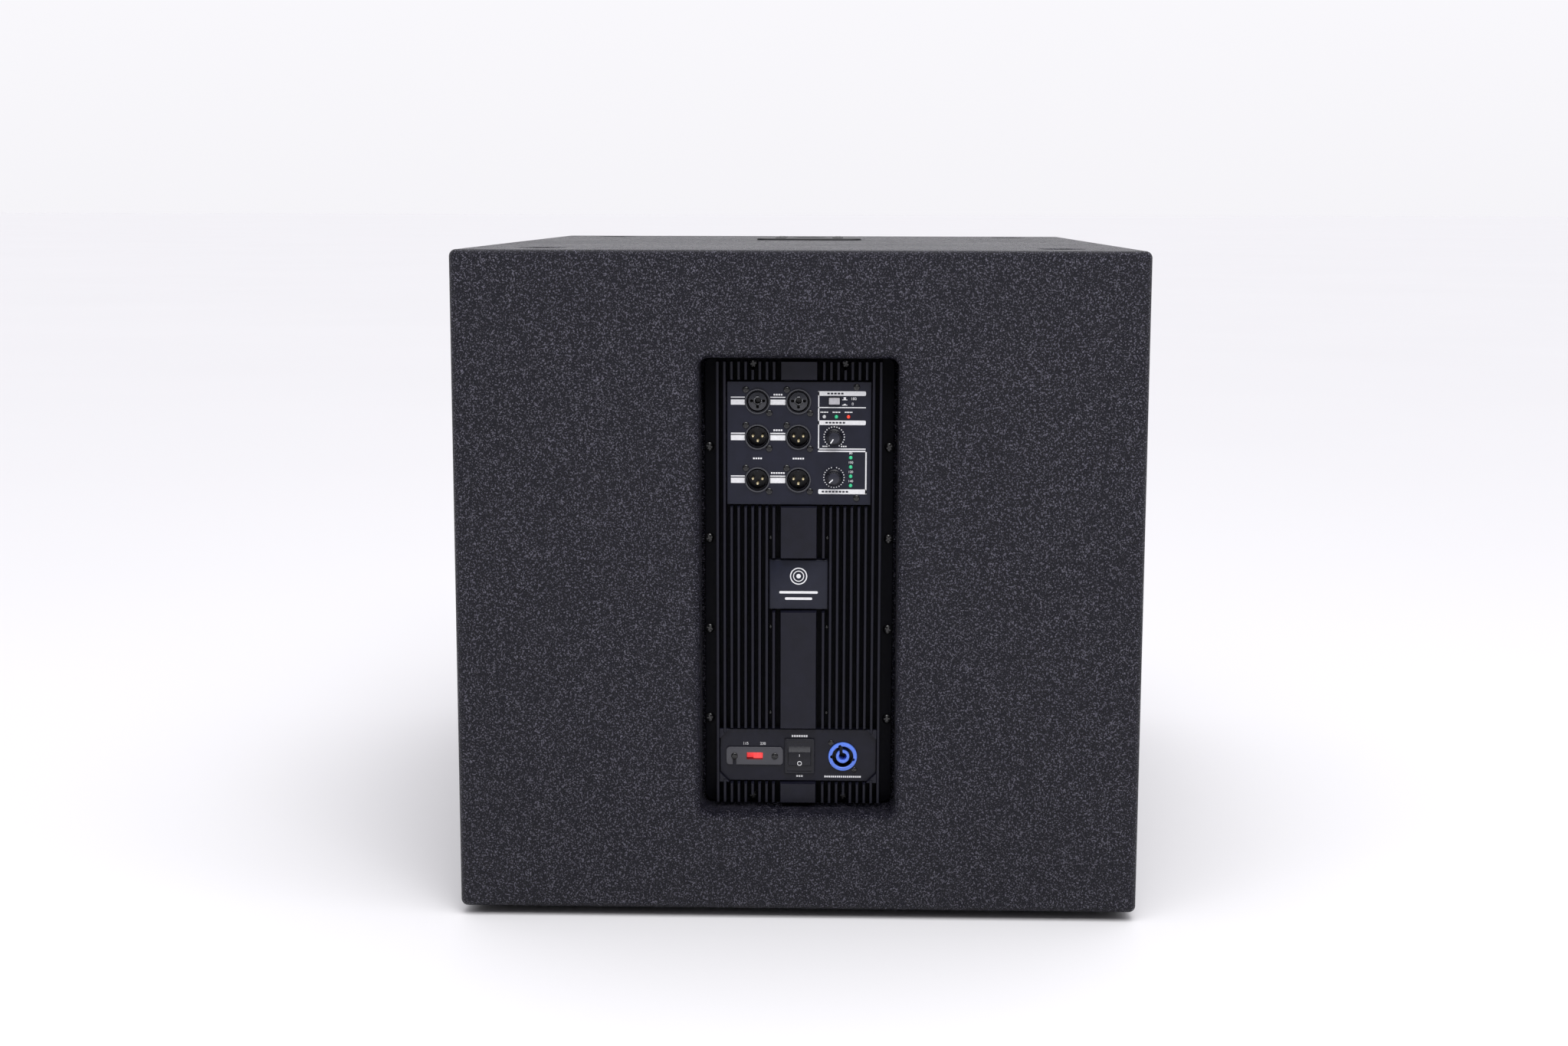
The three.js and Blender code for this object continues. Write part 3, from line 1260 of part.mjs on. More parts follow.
// ---------------------------------------------------------------- mains inlet
const inletFace = PANEL_DEPTH - GAP - INLET_STANDOUT;
const inletFloor = inletFace + INLET_BORE_DEPTH;
addPiece(
  amp,
  "mains_inlet",
  cut(
    joined(
      cut(
        joined(
          barY(INLET_RADIUS, [inletFace, PANEL_DEPTH - GAP]),
          barY(INLET_BARREL_RADIUS, [inletFace + JOIN, inletFace + INLET_BARREL_LENGTH]),
        ),
        barY(INLET_BORE_RADIUS, [inletFace - THROUGH, inletFloor]),
      ),
      barY(INLET_CORE_RADIUS, [inletFace + INLET_CORE_RECESS, inletFloor + JOIN]),
    ),
    barY(INLET_CORE_BORE_RADIUS, [inletFace, inletFloor]),
    block(centred(0, INLET_CORE_SLOT), [inletFace, inletFloor], [0, INLET_BORE_RADIUS - INLET_SLOT_MARGIN]),
  ),
  "blue",
).position.set(INLET_X, 0, POWER_ROW_Z);

// ---------------------------------------------------------------- lead from amplifier to woofer
const leadStart = new THREE.Vector3(-60, HALF_DEPTH - HOUSING_BACK - LEAD_RADIUS, AMP_Z + 60);
const leadEnd = new THREE.Vector3(-FRAME_FOOT_RADIUS - 12, BAFFLE_FRONT + FRAME_DEPTH, WOOFER_Z);
const leadRoute = new THREE.CatmullRomCurve3([
  leadStart,
  new THREE.Vector3(-90, BRACE_BACK + 40, AMP_Z + 70),
  new THREE.Vector3(-110, BRACE_FRONT - 40, AMP_Z + 70),
  new THREE.Vector3(-130, BRACE_FRONT - 160, AMP_Z + 50),
  leadEnd,
]);
const leadSection = new THREE.Shape().absarc(0, 0, LEAD_RADIUS, 0, 2 * Math.PI);
const lead = new THREE.ExtrudeGeometry(leadSection, {
  steps: 30,
  curveSegments: 4,
  bevelEnabled: false,
  extrudePath: leadRoute,
});
addPiece(cabinet, "woofer_lead", solidOf(lead), "rubber");

export default cabinet;
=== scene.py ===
import json
import random
from math import atan2, cos, pi, radians, sin, sqrt, tan

import bmesh
import bpy
from mathutils import Matrix, Vector

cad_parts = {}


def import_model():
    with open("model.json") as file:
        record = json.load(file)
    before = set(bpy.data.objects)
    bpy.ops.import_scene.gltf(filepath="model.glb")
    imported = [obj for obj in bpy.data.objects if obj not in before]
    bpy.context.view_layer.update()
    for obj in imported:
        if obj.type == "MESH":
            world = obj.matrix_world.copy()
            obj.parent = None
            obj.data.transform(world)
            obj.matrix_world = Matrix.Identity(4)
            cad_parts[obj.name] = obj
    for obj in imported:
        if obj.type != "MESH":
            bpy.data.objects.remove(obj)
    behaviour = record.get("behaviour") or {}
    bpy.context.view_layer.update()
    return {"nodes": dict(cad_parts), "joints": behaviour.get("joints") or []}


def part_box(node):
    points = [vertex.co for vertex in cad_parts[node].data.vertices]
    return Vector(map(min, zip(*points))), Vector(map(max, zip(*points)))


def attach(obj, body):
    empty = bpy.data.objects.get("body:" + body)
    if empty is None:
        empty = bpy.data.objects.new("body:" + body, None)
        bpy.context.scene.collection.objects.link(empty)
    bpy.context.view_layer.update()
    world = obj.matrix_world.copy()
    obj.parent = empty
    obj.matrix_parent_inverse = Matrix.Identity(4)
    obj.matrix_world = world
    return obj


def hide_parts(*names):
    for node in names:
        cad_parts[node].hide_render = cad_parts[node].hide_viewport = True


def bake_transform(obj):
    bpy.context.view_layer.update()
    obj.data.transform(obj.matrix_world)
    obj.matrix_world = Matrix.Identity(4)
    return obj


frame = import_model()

# Powered subwoofer seen from behind. Shapes are built in millimetres in the frame of the face that
# they sit on: x to the right and z up as someone facing it sees them, y into the cabinet.
random.seed(18)
MM = 0.001
scene = bpy.context.scene


# ------------------------------------------------------------------ places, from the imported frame
def box_mm(node):
    low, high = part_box(node)
    return low / MM, high / MM


def middle(node):
    low, high = box_mm(node)
    return (low + high) / 2


def facing(origin, turn, axis="Z"):
    return Matrix.Translation(origin) @ Matrix.Rotation(radians(turn), 4, axis)


SHELL_LOW = Vector(min(values) for values in zip(box_mm("cabinet_left")[0], box_mm("cabinet_right")[0]))
SHELL_HIGH = Vector(max(values) for values in zip(box_mm("cabinet_left")[1], box_mm("cabinet_right")[1]))
AMP_Z = middle("heatsink").z
REAR = facing((0, SHELL_HIGH.y, AMP_Z), 180)
ROW = Matrix.Identity(4)
IN_REAR = REAR.inverted()


def rear_box(node):
    """A node's box in the frame of the rear face: x, depth, z."""
    low, high = box_mm(node)
    a, b = IN_REAR @ low, IN_REAR @ high
    return Vector(map(min, a, b)), Vector(map(max, a, b))


def rear_middle(node):
    low, high = rear_box(node)
    return (low + high) / 2


PLATE_LOW, PLATE_HIGH = rear_box("connector_plate")
FACE = PLATE_LOW.y  # depth of the connector plate's and the power panel's face
SINK_LOW, SINK_HIGH = rear_box("heatsink")
FIN_TIP = SINK_LOW.y
FLANGE_BACK = SINK_HIGH.y
FLANGE_THICKNESS = 6.0
FLANGE = FLANGE_BACK - FLANGE_THICKNESS


# ------------------------------------------------------------------ outlines, as functions of inset
def rounded(cx, cz, width, height, radius, steps=6):
    def outline(inset=0.0):
        corner = max(radius - inset, 0.02)
        half_x = width / 2 - inset - corner
        half_z = height / 2 - inset - corner
        points = []
        for quarter, (sx, sz) in enumerate(((1, -1), (1, 1), (-1, 1), (-1, -1))):
            for step in range(steps + 1):
                angle = radians(90 * (quarter - 1) + 90 * step / steps)
                x = cx + sx * half_x + corner * cos(angle)
                points.append((x, cz + sz * half_z + corner * sin(angle)))
        return points

    return outline


def circle(cx, cz, radius, sides=40):
    def outline(inset=0.0):
        angles = [2 * pi * i / sides for i in range(sides)]
        reach = radius - inset
        return [(cx + reach * cos(a), cz + reach * sin(a)) for a in angles]

    return outline


def polygon(*corners):
    def outline(inset=0.0):
        points = [Vector(corner) for corner in corners]
        moved = []
        for i, point in enumerate(points):
            before = (point - points[i - 1]).normalized()
            after = (points[(i + 1) % len(points)] - point).normalized()
            n1, n2 = Vector((-before.y, before.x)), Vector((-after.y, after.x))
            moved.append(tuple(point + (n1 + n2) * inset / (1 + n1.dot(n2))))
        return moved

    return outline


# ------------------------------------------------------------------ solids, added to a bmesh
def loft(bm, loops, start_cap=True, end_cap=True):
    rows = [[bm.verts.new(point) for point in loop] for loop in loops]
    count = len(rows[0])
    for near, far in zip(rows, rows[1:]):
        for i in range(count):
            j = (i + 1) % count
            bm.faces.new((near[i], near[j], far[j], far[i]))
    if start_cap:
        bm.faces.new(rows[0])
    if end_cap:
        bm.faces.new(rows[-1][::-1])
    return bm


def slab(bm, outline, front, back, front_round=0.0, back_round=0.0, steps=3):
    """An outline from one depth to another, with its front and back edges rounded."""
    levels = []
    for step in range(steps + 1) if front_round else (steps,):
        angle = pi / 2 * step / steps
        levels.append((front_round * (1 - sin(angle)), front + front_round * (1 - cos(angle))))
    for step in range(steps, -1, -1) if back_round else (steps,):
        angle = pi / 2 * step / steps
        levels.append((back_round * (1 - sin(angle)), back - back_round * (1 - cos(angle))))
    return loft(bm, [[(x, depth, z) for x, z in outline(inset)] for inset, depth in levels])


def spin(bm, profile, cx=0.0, cz=0.0, sides=40, closed=False):
    """A solid turned about an axis along the depth, from (radius, depth) points."""
    rings = []
    for radius, depth in profile:
        if radius < 1e-6:
            rings.append([bm.verts.new((cx, depth, cz))])
            continue
        angles = [2 * pi * i / sides for i in range(sides)]
        points = [(cx + radius * cos(a), depth, cz + radius * sin(a)) for a in angles]
        rings.append([bm.verts.new(point) for point in points])
    pairs = list(zip(rings, rings[1:]))
    if closed:
        pairs.append((rings[-1], rings[0]))
    for near, far in pairs:
        for i in range(sides):
            j = (i + 1) % sides
            corners = [near[i % len(near)], near[j % len(near)], far[j % len(far)], far[i % len(far)]]
            corners = list(dict.fromkeys(corners))
            if len(corners) > 2:
                bm.faces.new(corners)
    return bm


def new_slab(*shape, **settings):
    return slab(bmesh.new(), *shape, **settings)


def new_spin(*shape, **settings):
    return spin(bmesh.new(), *shape, **settings)


def block(x, y, z, radius=0.0, segments=4):
    made = bmesh.new()
    size = (x[1] - x[0], y[1] - y[0], z[1] - z[0])
    centre = (sum(x) / 2, sum(y) / 2, sum(z) / 2)
    bmesh.ops.create_cube(made, size=1.0)
    made.transform(Matrix.Translation(centre) @ Matrix.Diagonal((*size, 1.0)))
    if radius:
        bmesh.ops.bevel(
            made, geom=made.edges[:], offset=radius, segments=segments, profile=0.5, affect="EDGES"
        )
    return made


def stamp(bm, other, matrix=None, keep=False):
    """Adds a copy of another bmesh, which is then freed."""
    mesh = bpy.data.meshes.new("stamp")
    other.to_mesh(mesh)
    if matrix:
        mesh.transform(matrix)
    bm.from_mesh(mesh)
    bpy.data.meshes.remove(mesh)
    if not keep:
        other.free()
    return bm


def in_row(bm, place):
    bm.transform(place)
    return bm


def loose(bm):
    bmesh.ops.recalc_face_normals(bm, faces=bm.faces)
    mesh = bpy.data.meshes.new("loose")
    bm.to_mesh(mesh)
    bm.free()
    made = bpy.data.objects.new("loose", mesh)
    scene.collection.objects.link(made)
    return made


def combined(bm, others, operation="DIFFERENCE"):
    """A bmesh with others cut from it or joined to it."""
    whole = loose(bm)
    parts = [loose(other) for other in others]
    for part in parts:
        step = whole.modifiers.new("step", "BOOLEAN")
        step.operation, step.solver, step.object = operation, "EXACT", part
    made = bmesh.new()
    made.from_object(whole, bpy.context.evaluated_depsgraph_get())
    for used in (whole, *parts):
        bpy.data.meshes.remove(used.data)
    return made


def piece(name, bm, finish, at=REAR, body="cabinet", stands_for=(), bevel=0.0, sharp=35):
    bmesh.ops.recalc_face_normals(bm, faces=bm.faces)
    bm.transform(Matrix.Scale(MM, 4) @ at)
    mesh = bpy.data.meshes.new(name)
    bm.to_mesh(mesh)
    bm.free()
    for polygon_face in mesh.polygons:
        polygon_face.use_smooth = True
    mesh.set_sharp_from_angle(angle=radians(sharp))
    mesh.materials.append(finish)
    made = bpy.data.objects.new(name, mesh)
    scene.collection.objects.link(made)
    if bevel:
        edge = made.modifiers.new("edge", "BEVEL")
        edge.width, edge.segments, edge.limit_method = bevel * MM, 2, "ANGLE"
        edge.angle_limit = radians(35)
        edge.harden_normals = True
    if body:
        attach(made, body)
    if stands_for:
        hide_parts(*stands_for)
    return made


# ------------------------------------------------------------------ materials
class Tree:
    """The nodes of a material or of the world. An input is a value or another node's output."""

    def __init__(self, owner):
        owner.use_nodes = True
        self.nodes, self.links = owner.node_tree.nodes, owner.node_tree.links

    def fill(self, socket, value):
        if isinstance(value, bpy.types.NodeSocket):
            self.links.new(value, socket)
        else:
            socket.default_value = value

    def put(self, node, **inputs):
        """Fills inputs by name, where _ stands for a space."""
        for name, value in inputs.items():
            self.fill(node.inputs[name.replace("_", " ")], value)
        return node

    def add(self, kind, **inputs):
        return self.put(self.nodes.new("ShaderNode" + kind), **inputs)

    def noise(self, scale, detail=3.0, stretch=None):
        """Noise over the object's own coordinates. Scale is in features a metre."""
        where = self.add("TexCoord").outputs["Object"]
        if stretch:
            where = self.add("Mapping", Scale=stretch, Vector=where).outputs["Vector"]
        return self.add("TexNoise", Scale=scale, Detail=detail, Vector=where).outputs["Fac"]

    def span(self, value, start, end, low, high):
        return self.add("MapRange", Value=value, From_Min=start, From_Max=end, To_Min=low, To_Max=high)

    def spread(self, scale, low, high):
        """Noise that runs from low to high."""
        return self.span(self.noise(scale), 0.3, 0.7, low, high).outputs["Result"]

    def tint(self, value, dark, light, start=0.35, end=0.65):
        made = self.add("ValToRGB", Fac=value)
        for stop, place, color in zip(made.color_ramp.elements, (start, end), (dark, light)):
            stop.position, stop.color = place, (*color, 1)
        return made.outputs["Color"]

    def bump(self, height, strength, distance):
        return self.add("Bump", Strength=strength, Distance=distance, Height=height).outputs["Normal"]


def blank(name):
    material = bpy.data.materials.new(name)
    tree = Tree(material)
    return material, tree, tree.nodes["Principled BSDF"]


def surface(name, color, roughness, mottle=0.12, mottle_scale=60.0, grain=0.0, grain_scale=1500.0,
            metallic=0.0, stretch=None, coat=0.0, glow=0.0, gloss=0.5):
    """A mottled colour, an uneven roughness and a fine grain."""
    material, tree, shader = blank(name)
    dark = [channel * (1 - mottle) for channel in color]
    light = [min(1.0, channel * (1 + mottle)) for channel in color]
    tree.put(
        shader,
        Base_Color=tree.tint(tree.noise(mottle_scale), dark, light),
        Roughness=tree.spread(mottle_scale * 3, roughness * 0.88, min(1, roughness * 1.12)),
        Metallic=metallic,
        Coat_Weight=coat,
        Specular_IOR_Level=gloss,
    )
    if glow:
        tree.put(shader, Emission_Color=(*color, 1), Emission_Strength=glow)
    if grain:
        tree.put(shader, Normal=tree.bump(tree.noise(grain_scale, stretch=stretch), grain, 0.0002))
    return material


def granular_coating():
    """Sprayed hard coating, grains about a millimetre across: painted highlights on tops, painted shade in
    hollows.
    """
    grain_scale, fine_scale, relief = 880.0, 2000.0, 0.0034
    # hollow is painted shade and top a painted highlight: the base colour follows the grains' height from one
    # to the other.
    hollow, top = (0.0018, 0.0018, 0.0085), (0.160, 0.155, 0.202)
    material, tree, shader = blank("granular_coating")
    plateau = tree.span(tree.noise(grain_scale, 2.0), 0.47, 0.66, 0.0, 1.0)
    plateau.interpolation_type = "SMOOTHSTEP"
    level = plateau.outputs["Result"]
    height = tree.nodes.new("ShaderNodeMath")
    height.operation = "MULTIPLY_ADD"
    for socket, value in zip(height.inputs, (tree.noise(fine_scale), 0.35, level)):
        tree.fill(socket, value)
    tree.put(
        shader,
        Normal=tree.bump(height.outputs["Value"], 1.0, relief),
        Base_Color=tree.tint(level, hollow, top, 0.25, 1.0),
        Roughness=tree.spread(9.0, 0.24, 0.31),
        Specular_IOR_Level=0.27,
    )
    return material


def frosted():
    material, tree, shader = blank("frosted_sheet")
    color = tree.tint(tree.noise(60.0), (0.050, 0.050, 0.060), (0.055, 0.055, 0.066))
    tree.put(shader, Base_Color=color, Roughness=tree.spread(120.0, 0.34, 0.40))
    return material


COATING = granular_coating()
CASTING = surface("cast_black", (0.0050, 0.0051, 0.0125), 0.44, 0.16, 90, 0.35, 2600, gloss=0.31)
# A darker copy of cast_black for the flange: its colour is painted shade where the recess keeps the light
# off.
CASTING_PAINTED_SHADE = surface("casting_painted_shade", (0.0014, 0.0015, 0.0038), 0.50, 0.16, 90, 0.35, 2600, gloss=0.13)
PANEL = surface("panel_paint", (0.009, 0.0100, 0.0215), 0.42, 0.10, 120, 0.25, 3200, gloss=0.30)
BLACK = surface("black_moulding", (0.004, 0.0042, 0.009), 0.30, 0.2, 200, 0.12, 4000, gloss=0.36)
GREY = surface("grey_moulding", (0.022, 0.023, 0.034), 0.32, 0.1, 200, 0.1, 4000, gloss=0.4)
STEEL = surface("powder_coated_steel", (0.014, 0.014, 0.016), 0.45, 0.15, 150, 0.5, 2600)
SCREW = surface("black_zinc", (0.004, 0.004, 0.005), 0.18, 0.2, 700, 0.1, 5000, gloss=0.6)
# A lighter copy of the black moulding for the jack rings' bead: its colour is a painted highlight.
RIM_PAINTED_HIGHLIGHT = surface("rim_painted_highlight", (0.040, 0.041, 0.050), 0.26, 0.1, 300, 0.1, 4000, gloss=0.6)
DOME = surface("dome_moulding", (0.026, 0.027, 0.034), 0.28, 0.1, 300, 0.1, 4000, gloss=0.5)
BADGE = surface("badge_enamel", (0.0085, 0.0100, 0.0220), 0.32, 0.1, 200, 0.1, 4000, gloss=0.30)
GOLD = surface("gold_pins", (0.95, 0.80, 0.50), 0.30, 0.08, 900, 0.05, 5000, metallic=0.55)
PRINT = surface("white_print", (0.80, 0.80, 0.82), 0.55, 0.05, 700, 0.1, 6000)
BUTTON = surface("light_moulding", (0.48, 0.47, 0.50), 0.42, 0.06, 500, 0.1, 5000)
BLUE = surface("blue_moulding", (0.115, 0.235, 0.84), 0.36, 0.08, 300, 0.1, 5000)
# The emission on these two red mouldings is painted light: neither the slider nor the window tray is a lamp.
RED = surface("red_moulding", (0.90, 0.07, 0.07), 0.38, 0.10, 500, 0.1, 5000, glow=0.75)
DEEP_RED = surface("deep_red_moulding", (0.80, 0.055, 0.06), 0.45, 0.08, 500, 0.1, 5000, glow=0.85)
WHITE_LENS = surface("clear_lens", (0.62, 0.62, 0.64), 0.18, 0.1, 900, coat=0.5)
GREEN_LENS = surface("green_lens", (0.03, 0.50, 0.23), 0.18, 0.1, 900, coat=0.5, glow=0.25)
RED_LENS = surface("red_lens", (0.85, 0.05, 0.02), 0.18, 0.1, 900, coat=0.5, glow=0.35)
RUBBER = surface("rubber", (0.016, 0.016, 0.017), 0.75, 0.2, 120, 0.5, 1800)
FOAM = surface("open_foam", (0.006, 0.006, 0.007), 0.95, 0.5, 900, 1.0, 900)
PLY = surface("birch_plywood", (0.56, 0.39, 0.23), 0.7, 0.2, 30, 0.4, 160, stretch=(1, 0.06, 1))
ZINC = surface("zinc_plate", (0.55, 0.56, 0.58), 0.32, 0.12, 80, 0.2, 1200, metallic=0.9)
FERRITE = surface("ferrite", (0.045, 0.045, 0.05), 0.7, 0.2, 200, 0.4, 1500)
PAPER = surface("cone_paper", (0.022, 0.022, 0.024), 0.9, 0.3, 300, 0.8, 900)
CLOTH = surface("spider_cloth", (0.42, 0.25, 0.09), 0.85, 0.2, 500, 0.9, 1200)
BOARD = surface("solder_mask", (0.02, 0.16, 0.07), 0.35, 0.25, 400, 0.3, 900)
COPPER = surface("enamelled_copper", (0.62, 0.26, 0.11), 0.3, 0.15, 200, 0.6, 1500, metallic=0.9)
CLEAR = frosted()

CAD_FINISHES = {
    COATING: "cabinet_left cabinet_right cabinet_top cabinet_bottom cabinet_rear front_baffle "
             "amp_mount_frame",
    PLY: "port_shelf port_divider cross_brace",
    STEEL: "handle_dish_left handle_dish_right pole_socket front_grille",
    FOAM: "grille_foam woofer_gasket amp_gasket",
    RUBBER: "handle_grip_left handle_grip_right foot_front_left foot_front_right foot_rear_left "
            "foot_rear_right surround woofer_lead",
    CASTING: "woofer_frame heatsink",
    ZINC: "front_plate back_plate amp_housing",
    FERRITE: "ring_magnet",
    PAPER: "woofer_cone dust_cap",
    CLOTH: "spider",
    BOARD: "control_board amp_board power_board",
    COPPER: "voice_coil transformer",
    BLACK: "combo_jack_left combo_jack_right link_xlr_left link_xlr_right output_xlr_left output_xlr_right "
           "master_knob dsp_knob badge_plate selector_body switch_body power_rocker",
    PANEL: "connector_plate",
    BUTTON: "phase_button",
    RED: "selector_slider",
    BLUE: "mains_inlet",
    CLEAR: "selector_cover",
    WHITE_LENS: "led_power",
    GREEN_LENS: "led_signal mode_light_pipe",
    RED_LENS: "led_limit",
}
for finish, names in CAD_FINISHES.items():
    for name in names.split():
        data = frame["nodes"][name].data
        data.materials.clear()
        data.materials.append(finish)


# ------------------------------------------------------------------ screws
def screw_head(radius, height):
    """A pan head with a cross recess. Its seat is at depth 0."""
    dome = [(radius, 0.0), (radius, -height * 0.35)]
    for step in range(1, 6):
        angle = pi / 2 * step / 6
        dome.append((radius * cos(angle), -height * (0.35 + 0.65 * sin(angle))))
    head = new_spin([(0, 0.0), *dome, (0, -height)], sides=24)
    arm, width = radius * 0.62, radius * 0.2
    cutters = []
    depths = (-height * 2, -height * 0.45)
    for half_x, half_z in ((arm, width), (width, arm)):
        cutters.append(block((-half_x, half_x), depths, (-half_z, half_z)))
    return combined(head, cutters)


def screws(prefix, places, radius, height, depth, at=REAR, finish=SCREW, body="cabinet"):
    head = screw_head(radius, height)
    for number, (x, z) in enumerate(places, 1):
        turn = Matrix.Rotation(random.uniform(0, pi / 2), 4, "Y")
        one = stamp(bmesh.new(), head, Matrix.Translation((x, depth, z)) @ turn, keep=True)
        piece(f"{prefix}_{number:02d}", one, finish, at, body)
    head.free()


def mirrored(x, z):
    return [(sx * x, sz * z) for sx in (-1, 1) for sz in (-1, 1)]


# ------------------------------------------------------------------ cabinet shell
PLY_THICKNESS = 18.0
EDGE = 6.0
OPENING = (172.0, 402.0)
OPENING_CORNER = 8.0
OPENING_LIP = 5.0  # radius of the opening's coated edge
LEDGE = 16.0
LEDGE_DEPTH = FLANGE_BACK + 2.6
TOP_Z = SHELL_HIGH.z
POLE = middle("pole_socket")
HANDLES = {"left": facing((SHELL_HIGH.x, *middle("handle_dish_left").yz), 90),
           "right": facing((SHELL_LOW.x, *middle("handle_dish_right").yz), -90)}
TOP = facing((0, POLE.y, TOP_Z), -90, "X")
HANDLE_FLANGE = (200.0, 140.0)
HANDLE_DISH = (160.0, 100.0)


def opening_cutter():
    """The amplifier's opening down to its ledge, flared where it meets the rear face."""
    levels = [(OPENING_LIP + 1, -1.0)]
    for step in range(9):
        angle = pi / 2 * step / 8
        levels.append((OPENING_LIP * (1 - sin(angle)), OPENING_LIP * (1 - cos(angle))))
    levels.append((0.0, LEDGE_DEPTH))
    outline = rounded(0, 0, *OPENING, OPENING_CORNER, 8)
    loops = [[(x, depth, z) for x, z in outline(-flare)] for flare, depth in levels]
    return in_row(loft(bmesh.new(), loops), REAR)


def cabinet_shell():
    inside = PLY_THICKNESS
    low, high = SHELL_LOW, SHELL_HIGH
    shell = block((low.x, high.x), (low.y, high.y), (low.z, high.z), EDGE, 6)
    hollow = block(
        (low.x + inside, high.x - inside),
        (low.y - 20, high.y - inside),
        (low.z + inside, high.z - inside),
    )
    frame_low, frame_high = box_mm("amp_mount_frame")
    frame_block = block(
        (frame_low.x, frame_high.x),
        (frame_low.y, high.y - inside / 2),
        (frame_low.z, frame_high.z),
    )
    way = block(
        (LEDGE - OPENING[0] / 2, OPENING[0] / 2 - LEDGE),
        (LEDGE_DEPTH - 5, LEDGE_DEPTH + 60),
        (LEDGE - OPENING[1] / 2, OPENING[1] / 2 - LEDGE),
    )
    cutters = [opening_cutter(), in_row(way, REAR)]
    for place in HANDLES.values():
        rebate = new_slab(rounded(0, 0, HANDLE_FLANGE[0] + 0.6, HANDLE_FLANGE[1] + 0.6, 12), -5, 2.8)
        dish = new_slab(rounded(0, 0, HANDLE_DISH[0] + 0.6, HANDLE_DISH[1] + 0.6, 12), -5, 30)
        cutters += [in_row(rebate, place), in_row(dish, place)]
    bore = new_slab(circle(0, 0, 21.4), -5, 30)
    cutters.append(in_row(bore, TOP))
    for foot in ("foot_front_left", "foot_front_right", "foot_rear_left", "foot_rear_right"):
        place = middle(foot)
        dimple = [(0, 3.0), (19.0, 3.0), (21.0, 2.2), (22.0, 0.5), (23.5, -0.6), (23.5, -3.0), (0, -3.0)]
        cutters.append(in_row(new_spin(dimple, place.x, place.y - POLE.y), TOP))
    shell = combined(shell, [hollow])
    shell = combined(shell, [frame_block], "UNION")
    shell = combined(shell, cutters)
    piece(
        "cabinet_shell",
        shell,
        COATING,
        ROW,
        stands_for=("cabinet_left", "cabinet_right", "cabinet_top", "cabinet_bottom", "cabinet_rear",
                    "amp_mount_frame"),
        sharp=32,
    )


# ------------------------------------------------------------------ heatsink
FIN_WIDTH = 2.8
FIN_PITCH = 6.17
FIN_COUNT = 9
SPINE = 32.0
FIRST_FIN = SPINE / 2 + 4.4 + FIN_WIDTH / 2
FIN_END = SINK_HIGH.z - 3.0
POCKET_BEVEL = 2.2
CONNECTOR_POCKET = (PLATE_LOW.z - 0.3, PLATE_HIGH.z + 0.3)
BADGE_LOW, BADGE_HIGH = rear_box("badge_plate")
BADGE_POCKET = (BADGE_LOW.z - 0.3, BADGE_HIGH.z + 0.3)
POWER_POCKET = (-177.4, -131.0)
POWER_CORNER = 8.0
POWER_HALF = FIRST_FIN + 8 * FIN_PITCH - FIN_WIDTH / 2 - 0.6
END_SCREW = (40.3, 194.0)
SEAT_EDGE = 9.0  # what the connector plate's seat takes from its window, both sides together


def fin_section(x, width, tip_radius):
    """A fin's section: a drafted bar with a rounded tip, as (x, depth) points."""
    root, draft = FLANGE + 1.0, 0.2
    half = width / 2
    points = [(x - half, root), (x + half, root)]
    for side, angles in ((1, (0, 30, 60, 90)), (-1, (90, 60, 30, 0))):
        for angle in angles:
            turn = radians(angle)
            reach = half - draft - tip_radius + tip_radius * cos(turn)
            points.append((x + side * reach, FIN_TIP + tip_radius * (1 - sin(turn))))
    return points


def fin_run(bm, section, low, high, low_bevel, high_bevel):
    loops = []
    for end, bevel, inward in ((low, low_bevel, 1), (high, high_bevel, -1)):
        loops.append([(x, d, end + inward * max(0.0, bevel - (d - FIN_TIP))) for x, d in section])
    loft(bm, loops)


def fin_runs(bm, section, pockets, end):
    """A fin from one end of the casting to the other, broken where the pockets cut it."""
    start, bevel = -end, 0.0
    for low, high in sorted(pockets):
        fin_run(bm, section, start, low, bevel, POCKET_BEVEL)
        start, bevel = high, POCKET_BEVEL
    fin_run(bm, section, start, end, bevel, 0.0)


def power_outline():
    low, high = POWER_POCKET
    half, corner = POWER_HALF, POWER_CORNER
    return polygon(
        (-half, low + corner), (corner - half, low), (half - corner, low), (half, low + corner),
        (half, high - corner), (half - corner, high), (corner - half, high), (-half, high - corner),
    )


